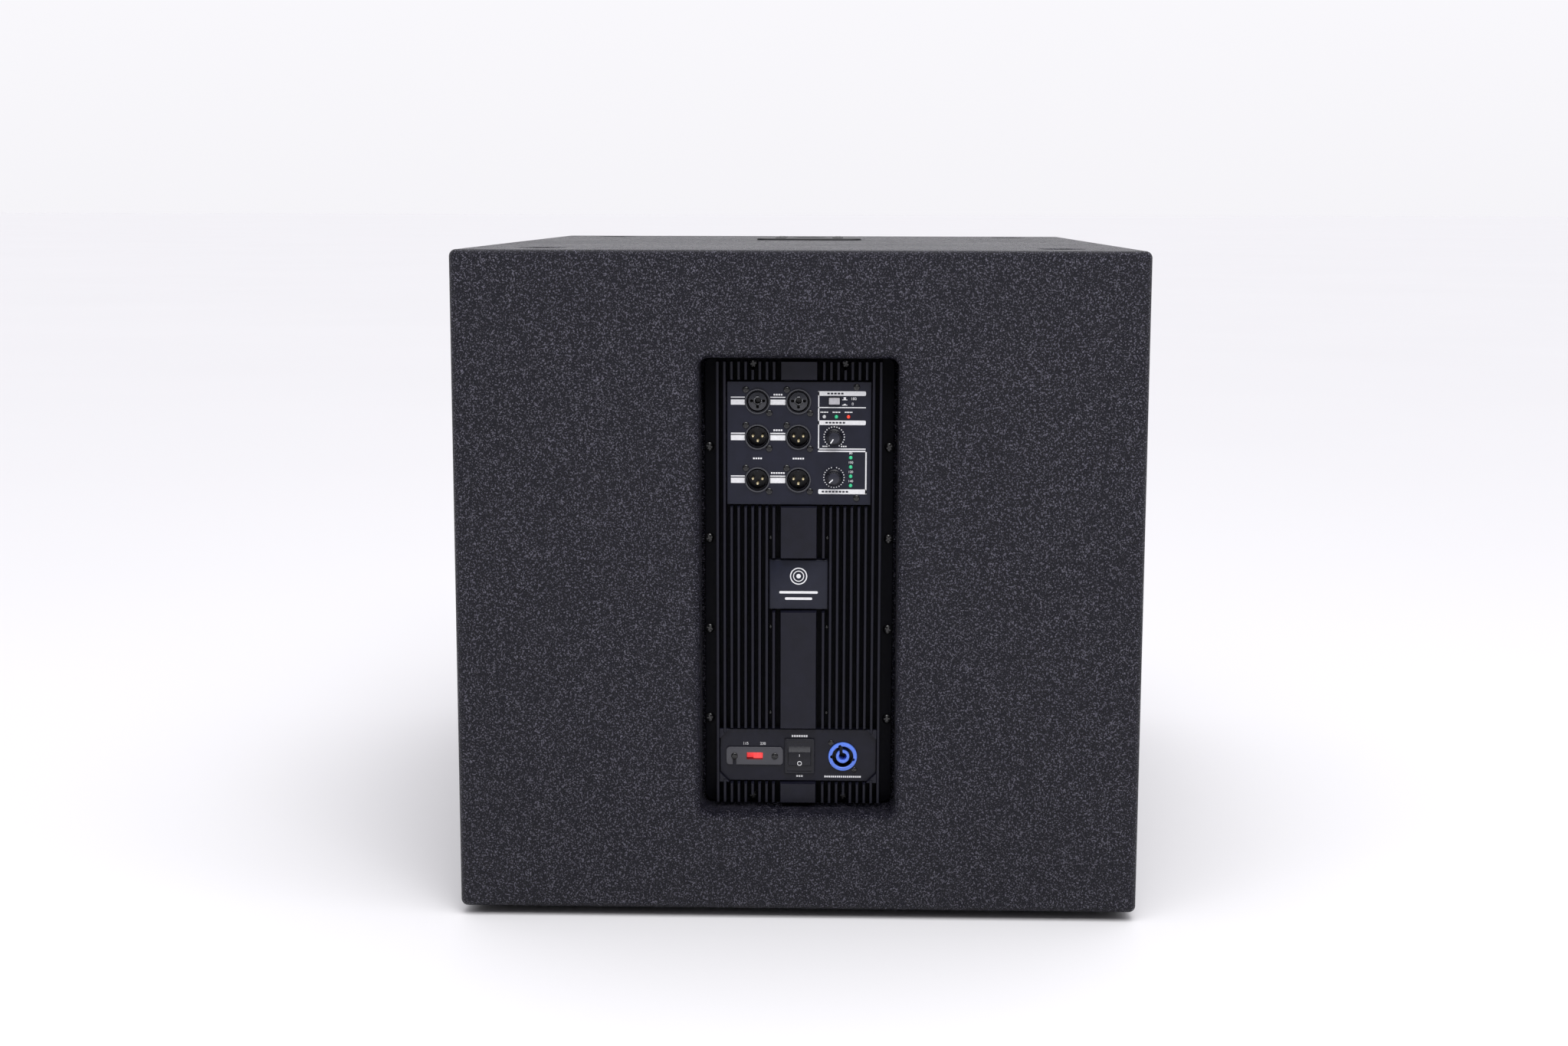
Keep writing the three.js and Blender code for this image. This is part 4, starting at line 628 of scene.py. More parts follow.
def heatsink():
    flange_outline = rounded(0, 0, SINK_HIGH.x * 2, SINK_HIGH.z * 2, OPENING_CORNER)
    plate = new_slab(flange_outline, FLANGE, FLANGE_BACK, 0.8)
    sink = bmesh.new()
    every = [CONNECTOR_POCKET, POWER_POCKET]
    fin_runs(sink, fin_section(0, SPINE, 0.8), [*every, BADGE_POCKET], FIN_END)
    for number in range(FIN_COUNT):
        pockets = []
        if number < 7:
            pockets.append(CONNECTOR_POCKET)
        if number < 1:
            pockets.append(BADGE_POCKET)
        if number < 7:
            pockets.append(POWER_POCKET)
        if number == 7:  # it reaches into the pocket's sloping corners
            reach = POWER_CORNER - (POWER_HALF - FIRST_FIN - number * FIN_PITCH)
            pockets.append((POWER_POCKET[0] + reach, POWER_POCKET[1] - reach))
        at_screw = abs(FIRST_FIN + number * FIN_PITCH - END_SCREW[0]) < FIN_WIDTH
        end = END_SCREW[1] - 4.6 if at_screw else FIN_END
        for side in (-1, 1):
            x = side * (FIRST_FIN + number * FIN_PITCH)
            fin_runs(sink, fin_section(x, FIN_WIDTH, 0.5), pockets, end)
    half = BADGE_HIGH.x + 0.3
    badge_floor = rounded(0, 0, 2 * half, BADGE_POCKET[1] - BADGE_POCKET[0], 1.0)
    slab(sink, badge_floor, BADGE_HIGH.y + 0.2, FLANGE + 1)
    seat_z = sum(CONNECTOR_POCKET) / 2
    height = CONNECTOR_POCKET[1] - CONNECTOR_POCKET[0]
    seat_outline = rounded(0, seat_z, 2 * PLATE_HIGH.x, height, 0.5)
    seat_window = rounded(0, seat_z, 2 * PLATE_HIGH.x - SEAT_EDGE, height - SEAT_EDGE, 0.5)
    seat = new_slab(seat_outline, PLATE_HIGH.y + 0.2, FLANGE + 1)
    window = new_slab(seat_window, FACE - 5, FLANGE_BACK + 5)
    stamp(sink, combined(seat, [window]))
    panel = new_slab(power_outline(), FACE, FLANGE + 1)
    holes = []
    for node in ("selector_body", "switch_body"):
        low, high = rear_box(node)
        grow = 0.3 if node == "selector_body" else -1.5
        middle_x, middle_z = (low.x + high.x) / 2, (low.z + high.z) / 2
        size = (high.x - low.x + 2 * grow, high.z - low.z + 2 * grow)
        holes.append(new_slab(rounded(middle_x, middle_z, *size, 0.6), FACE - 5, FLANGE_BACK + 5))
    inlet = rear_middle("mains_inlet")
    holes.append(new_slab(circle(inlet.x, inlet.z, 11.3), FACE - 5, FLANGE_BACK + 5))
    openings = [stamp(bmesh.new(), hole, keep=True) for hole in holes]
    openings.append(new_slab(seat_window, FLANGE - 5, FLANGE_BACK + 5))
    # The flange takes the darker casting colour, painted shade on the recessed flange.
    piece("heatsink_flange", combined(plate, openings), CASTING_PAINTED_SHADE, sharp=30)
    stamp(sink, combined(panel, holes))
    piece("heatsink_casting", sink, CASTING, stands_for=("heatsink",), sharp=30)


def power_pocket_slopes():
    """The 45-degree walls at the power pocket's corners, which show between the fins."""
    low, high = POWER_POCKET
    walls = bmesh.new()
    for side in (-1, 1):
        for edge, up in ((low, 1), (high, -1)):
            outer = POWER_HALF + 0.6
            corners = [
                (side * outer, edge - up * 1.0),
                (side * outer, edge + up * POWER_CORNER),
                (side * (outer - POWER_CORNER - 1.0), edge - up * 1.0),
            ]
            if side * up < 0:
                corners.reverse()
            slab(walls, polygon(*corners), FIN_TIP + 0.8, FACE + 1)
    piece("power_pocket_corners", walls, CASTING, bevel=0.4)


# ------------------------------------------------------------------ connectors
JACKS = ("combo_jack_left", "combo_jack_right", "link_xlr_left", "link_xlr_right", "output_xlr_left",
         "output_xlr_right")
PINS = ((-4.25, 0.4), (4.25, 0.4), (0.0, -3.9))


def jack_ring(bm, name, x, z, radius, bore, face):
    """A turned ring with a step down to its bore, and the rounded bead round its edge."""
    bead = radius - 1.5
    spin(
        bm,
        [(bead, FACE - 0.1), (bead, face + 0.5), (bore + 0.3, face + 0.5), (bore, face + 0.8),
         (bore, FACE - 0.1)],
        x, z, 56, closed=True,
    )
    # The bead is the black moulding in the lighter rim colour, a painted highlight along the ring's edge.
    rim = spin(
        bmesh.new(),
        [(radius, FACE - 0.1), (radius, face + 0.4), (radius - 0.25, face + 0.1), (radius - 0.75, face),
         (radius - 1.25, face + 0.1), (bead, face + 0.45), (bead, FACE - 0.1)],
        x, z, 56, closed=True,
    )
    piece(name + "_rim", rim, RIM_PAINTED_HIGHLIGHT)


def xlr_socket(name):
    place = rear_middle(name)
    x, z, face = place.x, place.z, rear_box(name)[0].y
    bore, floor = 8.5, face + 14.0
    shell = bmesh.new()
    jack_ring(shell, name, x, z, 11.2, bore, face)
    spin(shell, [(0, floor), (bore - 0.4, floor), (bore, floor - 0.4), (bore, FACE - 1), (10, FACE - 1),
                 (10, floor + 7.6), (0, floor + 7.6)], x, z, 48)
    slab(shell, rounded(x, z + bore - 0.4, 2.2, 2.0, 0.3), face + 1.2, floor, 0.3)
    piece(name + "_shell", shell, BLACK, stands_for=(name,))
    pins = bmesh.new()
    for px, pz in PINS:
        spin(pins, [(0, floor - 11.0), (0.7, floor - 10.8), (1.2, floor - 10.0), (1.2, floor + 0.5),
                    (0, floor + 0.5)], x + px, z + pz, 16)
    piece(name + "_pins", pins, GOLD)


def combo_socket(name):
    place = rear_middle(name)
    x, z, face = place.x, place.z, rear_box(name)[0].y
    shell = bmesh.new()
    jack_ring(shell, name, x, z, 11.2, 9.0, face)
    spin(shell, [(0, face + 17.0), (9.0, face + 17.0), (9.0, FACE - 1), (10, FACE - 1), (10, face + 21.4),
                 (0, face + 21.4)], x, z, 48)
    piece(name + "_shell", shell, BLACK, stands_for=(name,))
    dome = [(0, face + 17.0), (8.3, face + 17.0), (8.3, face + 1.9), (8.0, face + 1.45)]
    for radius in (6.5, 5.0, 3.5, 2.0):
        dome.append((radius, face + 0.75 + 0.7 * (radius / 8.0) ** 2))
    disc = new_spin([*dome, (0, face + 0.75)], x, z, 48)
    cuts = [new_slab(circle(x, z, 3.6, 32), face - 3, face + 15.9)]
    for px, pz in PINS:
        cuts.append(new_slab(circle(x + 1.25 * px, z + 1.25 * pz, 1.35, 20), face - 3, face + 12))
    bars = ((0, 0.5, 10.6, 1.9), (0, -2.6, 2.2, 5.4), (0, 3.9, 2.6, 2.2))
    for bx, bz, width, height in bars:
        cuts.append(new_slab(rounded(x + bx, z + bz, width, height, 0.4), face - 3, face + 12))
    piece(name + "_disc", combined(disc, cuts), DOME)
    contacts = bmesh.new()
    spin(contacts, [(3.55, face + 9.0), (3.55, face + 12.0), (3.0, face + 12.0), (2.6, face + 10.5),
                    (3.0, face + 9.0)], x, z, 32, closed=True)
    piece(name + "_contact", contacts, ZINC)


# ------------------------------------------------------------------ controls
def gear(radius, count, depth):
    """A fluted outline."""
    def outline(inset=0.0):
        points = []
        for i in range(count * 8):
            angle = 2 * pi * i / (count * 8)
            wave = 0.5 + 0.5 * cos(angle * count)
            reach = radius - inset - depth * (1 - wave) ** 2
            points.append((reach * cos(angle), reach * sin(angle)))
        return points

    return outline


def knob(name, pointer_turn):
    low, high = rear_box(name)
    place = Vector(((low.x + high.x) / 2, 0, (low.z + high.z) / 2))
    hinge = next(j for j in frame["joints"] if j["child"] == name)["pos_m"]
    axis_at = IN_REAR @ (Vector(hinge) / MM)
    turned = Matrix.Rotation(-radians(pointer_turn), 4, "Y")
    at = REAR @ Matrix.Translation((axis_at.x, 0, axis_at.z)) @ turned
    front, back = low.y, FACE - 0.4
    body = new_slab(gear(5.9, 18, 0.35), front + 0.1, back - 1.2, 0.7)
    spin(body, [(0, back - 1.6), (6.0, back - 1.6), (7.2, back - 0.9), (7.4, back - 0.5), (7.4, back),
                (0, back)])
    spin(body, [(0, back - 0.5), (3.0, back - 0.5), (3.0, FACE + 18.0), (0, FACE + 18.0)], sides=24)
    piece(name + "_cap", body, BLACK, at, name, (name,))
    face = new_spin([(0, front), (4.4, front), (4.7, front + 0.15), (4.7, front + 0.6),
                              (0, front + 0.6)])
    piece(name + "_face", face, GREY, at, name)
    line = new_slab(rounded(0, 3.4, 1.0, 4.4, 0.4), front - 0.08, front + 0.4)
    piece(name + "_pointer", line, PRINT, at, name)
    return place


def phase_button():
    low, high = rear_box("phase_button")
    stem = (2.9, 2.9)
    centre = ((low.x + high.x) / 2, (low.z + high.z) / 2)
    cap = rounded(*centre, high.x - low.x, high.z - low.z, 0.6)
    button = new_slab(cap, low.y, FACE + 3, 0.5)
    slab(button, rounded(*centre, *stem, 0.3), FACE + 2, high.y)
    piece("phase_button_cap", button, BUTTON, body="phase_button", stands_for=("phase_button",))


def lamps():
    for name, finish in (("led_power", WHITE_LENS), ("led_signal", GREEN_LENS), ("led_limit", RED_LENS)):
        place = rear_middle(name)
        low, high = rear_box(name)
        made = lens(bmesh.new(), place.x, place.z, low.y, high.y)
        piece(name + "_lens", made, finish, stands_for=(name,))
    low, high = rear_box("mode_light_pipe")
    lenses = bmesh.new()
    for z in mode_lamp_heights():
        lens(lenses, (low.x + high.x) / 2, z, low.y, high.y - 1)
    slab(lenses, rounded((low.x + high.x) / 2, (low.z + high.z) / 2, high.x - low.x, high.z - low.z, 0.5),
         high.y - 2, high.y)
    piece("mode_lamp_lenses", lenses, GREEN_LENS, stands_for=("mode_light_pipe",))


def mode_lamp_heights():
    low, high = rear_box("mode_light_pipe")
    pitch = (high.z - low.z) / 4
    return [high.z - pitch * (i + 0.5) for i in range(4)]


def lens(bm, x, z, front, back, radius=1.55):
    dome = [(radius * cos(a), front + radius * 0.55 * (1 - sin(a)))
            for a in (pi / 2 * step / 5 for step in range(5))]
    return spin(bm, [(0, back), (radius, back), *dome, (0, front)], x, z, 20)


# ------------------------------------------------------------------ power panel
def selector():
    low, high = rear_box("selector_body")
    cx, cz = (low.x + high.x) / 2, (low.z + high.z) / 2
    window = (14.5, 6.5)
    body = new_slab(rounded(cx, cz, high.x - low.x, high.z - low.z, 0.8), low.y, high.y)
    hole = new_slab(rounded(cx, cz, *window, 0.5), low.y - 3, low.y + 6.2)
    piece("selector_housing", combined(body, [hole]), BLACK, stands_for=("selector_body",))
    # The red tray glows with painted light.
    tray = new_slab(rounded(cx, cz, window[0] - 0.2, window[1] - 0.2, 0.4), low.y + 5.9, low.y + 6.3)
    piece("selector_tray", tray, DEEP_RED)
    low, high = rear_box("selector_slider")
    sx, sz = (low.x + high.x) / 2, (low.z + high.z) / 2
    # The red slider glows with painted light.
    slider = new_slab(rounded(sx, sz, high.x - low.x, high.z - low.z, 0.4), low.y + 0.7, high.y)
    for offset in (-3.0, -1.5, 1.5, 3.0):
        slab(slider, rounded(sx + offset, sz, 0.8, high.z - low.z - 0.6, 0.3), low.y, low.y + 1.0, 0.25)
    piece("selector_slider_knob", slider, RED, body="selector_slider", stands_for=("selector_slider",))
    low, high = rear_box("selector_cover")
    cx, cz = (low.x + high.x) / 2, (low.z + high.z) / 2
    cover = new_slab(rounded(cx, cz, high.x - low.x, high.z - low.z, 3.0), low.y, high.y, 0.35, 0.2)
    slot_cut = new_slab(rounded(cx - 18, cz - 6.4, 3.2, 16.0, 1.59), low.y - 3, high.y + 3)
    body_at = rear_middle("selector_body")
    sight = new_slab(rounded(body_at.x, body_at.z, *window, 0.5), low.y - 3, high.y + 3)
    piece("selector_cover_sheet", combined(cover, [slot_cut, sight]), CLEAR, body="selector_cover",
          stands_for=("selector_cover",))
    screws("selector_screw", [(cx - 18, cz), (cx + 18, cz)], 2.9, 1.5, low.y - 0.05)


def power_switch():
    low, high = rear_box("switch_body")
    cx, cz = (low.x + high.x) / 2, (low.z + high.z) / 2
    bezel = new_slab(rounded(cx, cz, high.x - low.x, high.z - low.z, 1.2), low.y, FACE - 0.1, 0.5)
    slab(bezel, rounded(cx, cz, high.x - low.x - 3.6, high.z - low.z - 3.6, 0.6), FACE - 1.0, high.y)
    well = new_slab(rounded(cx, cz, 20.8, 25.6, 0.5), low.y - 3, high.y - 4.0)
    step = new_slab(rounded(cx, cz, 22.2, 27.2, 0.7), low.y - 3, low.y + 0.7)
    piece("switch_bezel", combined(bezel, [well, step]), BLACK, stands_for=("switch_body",))
    hinge = next(j for j in frame["joints"] if j["child"] == "power_rocker")["pos_m"]
    pivot = IN_REAR @ (Vector(hinge) / MM)
    tilted = REAR @ Matrix.Translation(pivot) @ Matrix.Rotation(radians(12), 4, "X")
    half, crest, crest_inset, valley, back = 11.2, 8.0, 4.5, 6.6, 5.5
    side = polygon(
        (0, -half), (back, crest_inset - half), (back, half - crest_inset), (0, half),
        (-crest, half - crest_inset), (-valley, 0), (-crest, crest_inset - half),
    )
    rocker = new_slab(side, -10.0, 10.0)
    rocker.transform(Matrix.Rotation(radians(90), 4, "Z"))
    piece("rocker_cap", rocker, BLACK, tilted, "power_rocker", ("power_rocker",), bevel=0.5)
    slope = atan2(crest - valley, half - crest_inset)
    for mark, z, lean in (("line", 3.0, slope), ("ring", -4.6, -slope)):
        depth = -valley - abs(z) * tan(slope)
        at = tilted @ Matrix.Translation((0, depth, z)) @ Matrix.Rotation(lean, 4, "X")
        shape = bmesh.new()
        if mark == "line":
            slab(shape, rounded(0, 0, 0.55, 2.8, 0.2), -0.12, 0.2)
        else:
            spin(shape, [(2.05, -0.12), (2.05, 0.2), (1.5, 0.2), (1.5, -0.12)], sides=28, closed=True)
        piece("rocker_mark_" + mark, shape, PRINT, at, "power_rocker")


def mains_inlet():
    low, high = rear_box("mains_inlet")
    cx, cz = (low.x + high.x) / 2, (low.z + high.z) / 2
    face = low.y
    ring = spin(
        bmesh.new(),
        [(12.8, FACE - 0.1), (12.8, face + 0.7), (12.5, face + 0.2), (12.0, face), (9.9, face),
         (9.5, face + 0.4), (9.5, face + 15.0), (0, face + 15.0), (0, high.y), (11.0, high.y),
         (11.0, FACE - 0.1)],
        cx, cz, 56,
    )
    notches = []
    for angle in (105, 180, 345):
        turn = radians(angle)
        nx, nz = cx + 9.7 * cos(turn), cz + 9.7 * sin(turn)
        notches.append(new_slab(circle(nx, nz, 1.5, 16), face - 3, face + 6))
    piece("inlet_ring", combined(ring, notches), BLUE, stands_for=("mains_inlet",))
    # A black sleeve inside the blue ring. Its floor also runs across under the core's bore, where the black
    # sheet is painted shade at the bottom of the deep hole.
    lining = new_spin([(0, face + 14.4), (9.1, face + 14.4), (9.1, face + 1.2), (9.45, face + 1.2),
                                (9.45, face + 14.9), (0, face + 14.9)], cx, cz, 56)
    piece("inlet_lining_and_painted_shade", lining, BLACK)
    core = new_spin([(6.0, face + 1.5), (5.7, face + 1.0), (3.8, face + 1.0), (3.4, face + 1.5),
                              (3.4, face + 14.3), (6.0, face + 14.3)], cx, cz, 48, closed=True)
    gap = new_slab(rounded(cx - 1.5, cz + 5.0, 2.8, 6.4, 0.8), face - 3, face + 14.4)
    piece("inlet_core", combined(core, [gap]), BLUE)


def badge():
    """A plain badge: a generic driver sign over two bars, and no lettering."""
    width, height = BADGE_HIGH.x - BADGE_LOW.x, BADGE_HIGH.z - BADGE_LOW.z
    plate = new_slab(rounded(0, 0, width, height, 2.0), BADGE_LOW.y - 0.1, BADGE_HIGH.y, 0.4)
    piece("badge_face", plate, BADGE, stands_for=("badge_plate",))
    front = BADGE_LOW.y - 0.16
    sign = bmesh.new()
    for outer, inner in ((7.6, 6.6), (4.9, 4.1), (2.0, 0.0)):
        if inner:
            ring = [(outer, front), (outer, front + 0.2), (inner, front + 0.2), (inner, front)]
            spin(sign, ring, 0, 7.5, 48, closed=True)
        else:
            slab(sign, circle(0, 7.5, outer), front, front + 0.2)
    slab(sign, rounded(0, -7.0, 34, 2.2, 1.0), front, front + 0.2)
    slab(sign, rounded(0, -12.6, 24, 2.2, 1.0), front, front + 0.2)
    piece("badge_sign", sign, PRINT)


# ------------------------------------------------------------------ print on the panel
INK = 0.06


def bar(bm, x0, x1, z0, z1, radius=0.3):
    centre = ((x0 + x1) / 2, (z0 + z1) / 2)
    corner = min(radius, (x1 - x0) / 2.05, (z1 - z0) / 2.05)
    slab(bm, rounded(*centre, x1 - x0, z1 - z0, corner), FACE - INK, FACE + 0.02)


def dashes(bm, x, z, width, count, height=1.5):
    """A row of plain marks that stands in for a word."""
    pitch = width / count
    for i in range(count):
        start = x - width / 2 + i * pitch
        bar(bm, start + 0.14 * pitch, start + 0.86 * pitch, z - height / 2, z + height / 2, 0.3)


def number_text(bm, text, x, z, size):
    """A number in the built-in typeface, centred."""
    curve = bpy.data.curves.new("number", "FONT")
    curve.body, curve.size, curve.extrude = text, size, INK / 2
    curve.align_x, curve.align_y = "CENTER", "CENTER"
    source = bpy.data.objects.new("number", curve)
    scene.collection.objects.link(source)
    mesh = bpy.data.meshes.new_from_object(source.evaluated_get(bpy.context.evaluated_depsgraph_get()))
    mesh.transform(Matrix.Translation((x, FACE - INK / 2, z)) @ Matrix.Rotation(pi / 2, 4, "X"))
    bm.from_mesh(mesh)
    bpy.data.objects.remove(source)
    bpy.data.curves.remove(curve)
    bpy.data.meshes.remove(mesh)


def ticks(bm, x, z, radius, count, first, last, size=0.5):
    for i in range(count):
        angle = radians(90 - (first + (last - first) * i / (count - 1)))
        dot = circle(x + radius * cos(angle), z + radius * sin(angle), size, 10)
        slab(bm, dot, FACE - INK, FACE + 0.02)


def connector_print(master, dsp, button):
    ink = bmesh.new()
    for name in JACKS:
        jack = rear_middle(name)
        bottom, top = (3.2, 4.0) if name.startswith("combo") else (2.6, 3.6)
        start, end = (-59.6, -47.3) if name.endswith("left") else (-25.2, -12.0)
        bar(ink, start, end, jack.z + bottom, jack.z + top, 0.2)
        bar(ink, start, end, jack.z - 3.0, jack.z + 1.6, 0.3)
    for name, width in (("combo_jack_left", 8.4), ("link_xlr_left", 8.4), ("output_xlr_left", 12.6)):
        dashes(ink, -18.5, rear_middle(name).z + 5.9, width, round(width / 2.1))
    for name, width in (("output_xlr_left", 8.4), ("output_xlr_right", 10.5)):
        dashes(ink, rear_middle(name).x, 111.7, width, round(width / 2.1))
    bar(ink, 16.5, 17.5, 119.8, 170.9)
    bar(ink, 16.5, 58.1, 166.8, 170.8, 1.2)
    bar(ink, 16.5, 58.1, 156.1, 157.0)
    bar(ink, 16.5, 58.1, 141.3, 145.3, 1.2)
    bar(ink, 16.5, 58.1, 119.8, 120.8)
    bar(ink, 16.5, 59.1, 117.7, 118.9)
    bar(ink, 57.9, 59.1, 80.6, 118.9)
    bar(ink, 16.9, 59.1, 80.6, 84.8, 1.2)
    number_text(ink, "180", 47.4, button.z + 1.9, 3.4)
    number_text(ink, "0", 46.6, button.z - 2.7, 3.4)
    for rise, step in ((1.9, 1.2), (-2.7, 0.0)):
        bar(ink, 37.4, 42.0, button.z + rise - 1.2, button.z + rise - 0.6, 0.2)
        bar(ink, 38.7, 40.7, button.z + rise - 0.6, button.z + rise + 0.2 + step, 0.2)
    for name in ("led_power", "led_signal", "led_limit"):
        lamp = rear_middle(name)
        dashes(ink, lamp.x, lamp.z + 4.0, 7.0, 5, 1.2)
    ticks(ink, master.x, master.z, 8.9, 21, -150, 150, 0.55)
    ticks(ink, dsp.x, dsp.z, 8.9, 25, 0, 360, 0.5)
    dashes(ink, master.x - 8.0, 122.6, 4.8, 3, 1.1)
    dashes(ink, master.x + 8.4, 122.6, 5.4, 3, 1.1)
    lamp_x = rear_middle("mode_light_pipe").x
    for height, text in zip(mode_lamp_heights(), ("80", "100", "120", "140")):
        number_text(ink, text, lamp_x, height + 3.9, 2.9)
    piece("connector_print", ink, PRINT)
    titles = bmesh.new()
    pitch, width, height = 3.0, 2.2, 1.5
    for x0, count, z in ((25.5, 5, 168.8), (24.0, 6, 143.3), (21.0, 8, 82.7)):
        for i in range(count):
            slab(titles, rounded(x0 + i * pitch, z, width, height, 0.5), FACE - 0.1, FACE)
    piece("connector_titles", titles, GREY)


def power_print():
    ink = bmesh.new()
    nodes = ("selector_body", "switch_body", "mains_inlet")
    selector_at, switch_at, inlet_at = (rear_middle(node) for node in nodes)
    number_text(ink, "115", selector_at.x - 8.0, selector_at.z + 10.9, 3.4)
    number_text(ink, "230", selector_at.x + 7.3, selector_at.z + 10.9, 3.4)
    dashes(ink, switch_at.x, switch_at.z + 18.1, 14.7, 7, 1.9)
    dashes(ink, switch_at.x, switch_at.z - 18.4, 6.3, 3, 1.7)
    dashes(ink, inlet_at.x, inlet_at.z - 18.7, 33.0, 18, 1.7)
    piece("power_print", ink, PRINT)


# ------------------------------------------------------------------ pole socket, handles, feet, grille
def pole_socket():
    rise = TOP_Z - box_mm("pole_socket")[1].z
    flange = new_slab(rounded(0, 0, 113, 113, 9), rise, -0.3, 1.0)
    spin(flange, [(0, 0), (20.75, 0), (20.75, 84.5), (0, 84.5)], sides=48)
    collar = [(26.0, rise + 0.5), (24.5, rise - 0.5), (18.2, rise - 0.5), (17.75, rise), (17.75, 1), (26, 1)]
    spin(flange, collar, sides=56, closed=True)
    bore = new_slab(circle(0, 0, 17.75, 56), rise - 5, 81.5)
    piece("pole_flange", combined(flange, [bore]), STEEL, TOP, stands_for=("pole_socket",))
    screws("pole_bolt", mirrored(31.0, 31.0), 6.2, 1.4, rise, TOP)


def handle(name):
    at = HANDLES[name]
    levels = (
        (145, 85, 18, 56.0), (151, 91, 16, 55.2), (154, 94, 15, 52.0), (155.6, 95.6, 14, 46.0),
        (156, 96, 13, 4.0), (157, 97, 13, 1.8), (159.5, 99.5, 13, 0.4), (163, 103, 14, 0.0),
        (197, 137, 11, 0.0), (199.2, 139.2, 11.5, 0.4), (200, 140, 12, 1.2), (200, 140, 12, 2.5),
        (160, 100, 12, 2.5), (160, 100, 12, 52.0), (156, 96, 14, 57.0), (150, 90, 16, 58.0),
    )
    loops = []
    for width, height, radius, depth in levels:
        loops.append([(x, depth, z) for x, z in rounded(0, 0, width, height, radius, 8)()])
    piece("handle_cup_" + name, loft(bmesh.new(), loops), STEEL, at, stands_for=("handle_dish_" + name,))
    low, high = box_mm("handle_grip_" + name)
    half, radius = (high.y - low.y) / 2, (high.z - low.z) / 2
    depth = abs((SHELL_HIGH.x if name == "left" else SHELL_LOW.x) - (low.x + high.x) / 2)
    profile = [(0, -half), (radius * 0.72, -half), (radius * 0.8, 6 - half), (radius * 0.98, 8 - half)]
    ribs = 22
    for rib in range(ribs):
        start = 10 - half + rib * (2 * half - 20) / ribs
        groove = radius - 0.7
        profile += [(radius, start), (radius, start + 3.8), (groove, start + 4.6), (groove, start + 5.4)]
    profile += [(radius * 0.98, half - 8), (radius * 0.8, half - 6), (radius * 0.72, half), (0, half)]
    grip = new_spin(profile, sides=36)
    grip.transform(Matrix.Translation((0, depth, 0)) @ Matrix.Rotation(radians(-90), 4, "Z"))
    piece("handle_sleeve_" + name, grip, RUBBER, at, stands_for=("handle_grip_" + name,))
    places = mirrored(89.0, 59.0) + [(0, 59.5), (0, -59.5), (89.5, 0), (-89.5, 0)]
    screws("handle_screw_" + name, places, 3.6, 2.0, 0.02, at)


def suspension(name, profile, finish):
    """A ring from the frame to the cone, made of separate sectors."""
    centre = middle(name)
    sectors, steps = 24, 4
    for sector in range(sectors):
        first = 2 * pi * sector / sectors
        loops = []
        for step in range(steps + 1):
            angle = first + 2 * pi / sectors * step / steps
            loops.append([(r * cos(angle), depth, r * sin(angle)) for r, depth in profile])
        made = piece(
            f"{name}_sector_{sector + 1:02d}", loft(bmesh.new(), loops), finish,
            facing((centre.x, 0, centre.z), 0), body=None, stands_for=() if sector else (name,),
        )
        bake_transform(made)


def surround():
    low, high = box_mm("surround")
    outer, back, roll, sheet, lip = (high.x - low.x) / 2, high.y, high.y - low.y, 1.2, 8.0
    inner = outer - 2 * lip - 21.0
    centre = (outer + inner) / 2
    profile = [(outer, back)]
    for step in range(13):
        angle = pi * step / 12
        reach = roll - sheet
        profile.append((centre + reach * cos(angle), back - reach * sin(angle)))
    profile += [(inner, back), (inner, back - sheet)]
    for step in range(13):
        angle = pi - pi * step / 12
        profile.append((centre + roll * cos(angle), min(back - sheet, back - roll * sin(angle))))
    profile.append((outer, back - sheet))
    suspension("surround", profile, RUBBER)


def spider():
    low, high = box_mm("spider")
    outer, sheet, wave = (high.x - low.x) / 2, 1.2, 2.5
    inner = box_mm("voice_coil")[1].x + 0.3
    level = (low.y + high.y) / 2
    steps = 32
    line = []
    for step in range(steps + 1):
        line.append((inner + (outer - inner) * step / steps, level + wave * cos(pi * step / 4)))
    profile = [(r, depth - sheet / 2) for r, depth in line]
    profile += [(r, depth + sheet / 2) for r, depth in line[::-1]]
    suspension("spider", profile, CLOTH)


def foot(name):
    low, high = box_mm(name)
    place = middle(name)
    radius, height = (high.x - low.x) / 2, high.z
    at = facing((place.x, place.y, 0), 90, "X")
    body = spin(
        bmesh.new(),
        [(5.2, 3.5), (5.6, 0.4), (6.2, 0), (radius - 3, 0), (radius - 1.2, 0.7), (radius - 0.4, 2.0),
         (radius, height), (5.2, height)],
        closed=True,
    )
    piece(name + "_pad", body, RUBBER, at, stands_for=(name,))
    screws(name + "_screw", [(0, 0)], 4.2, 1.8, 4.0, at)


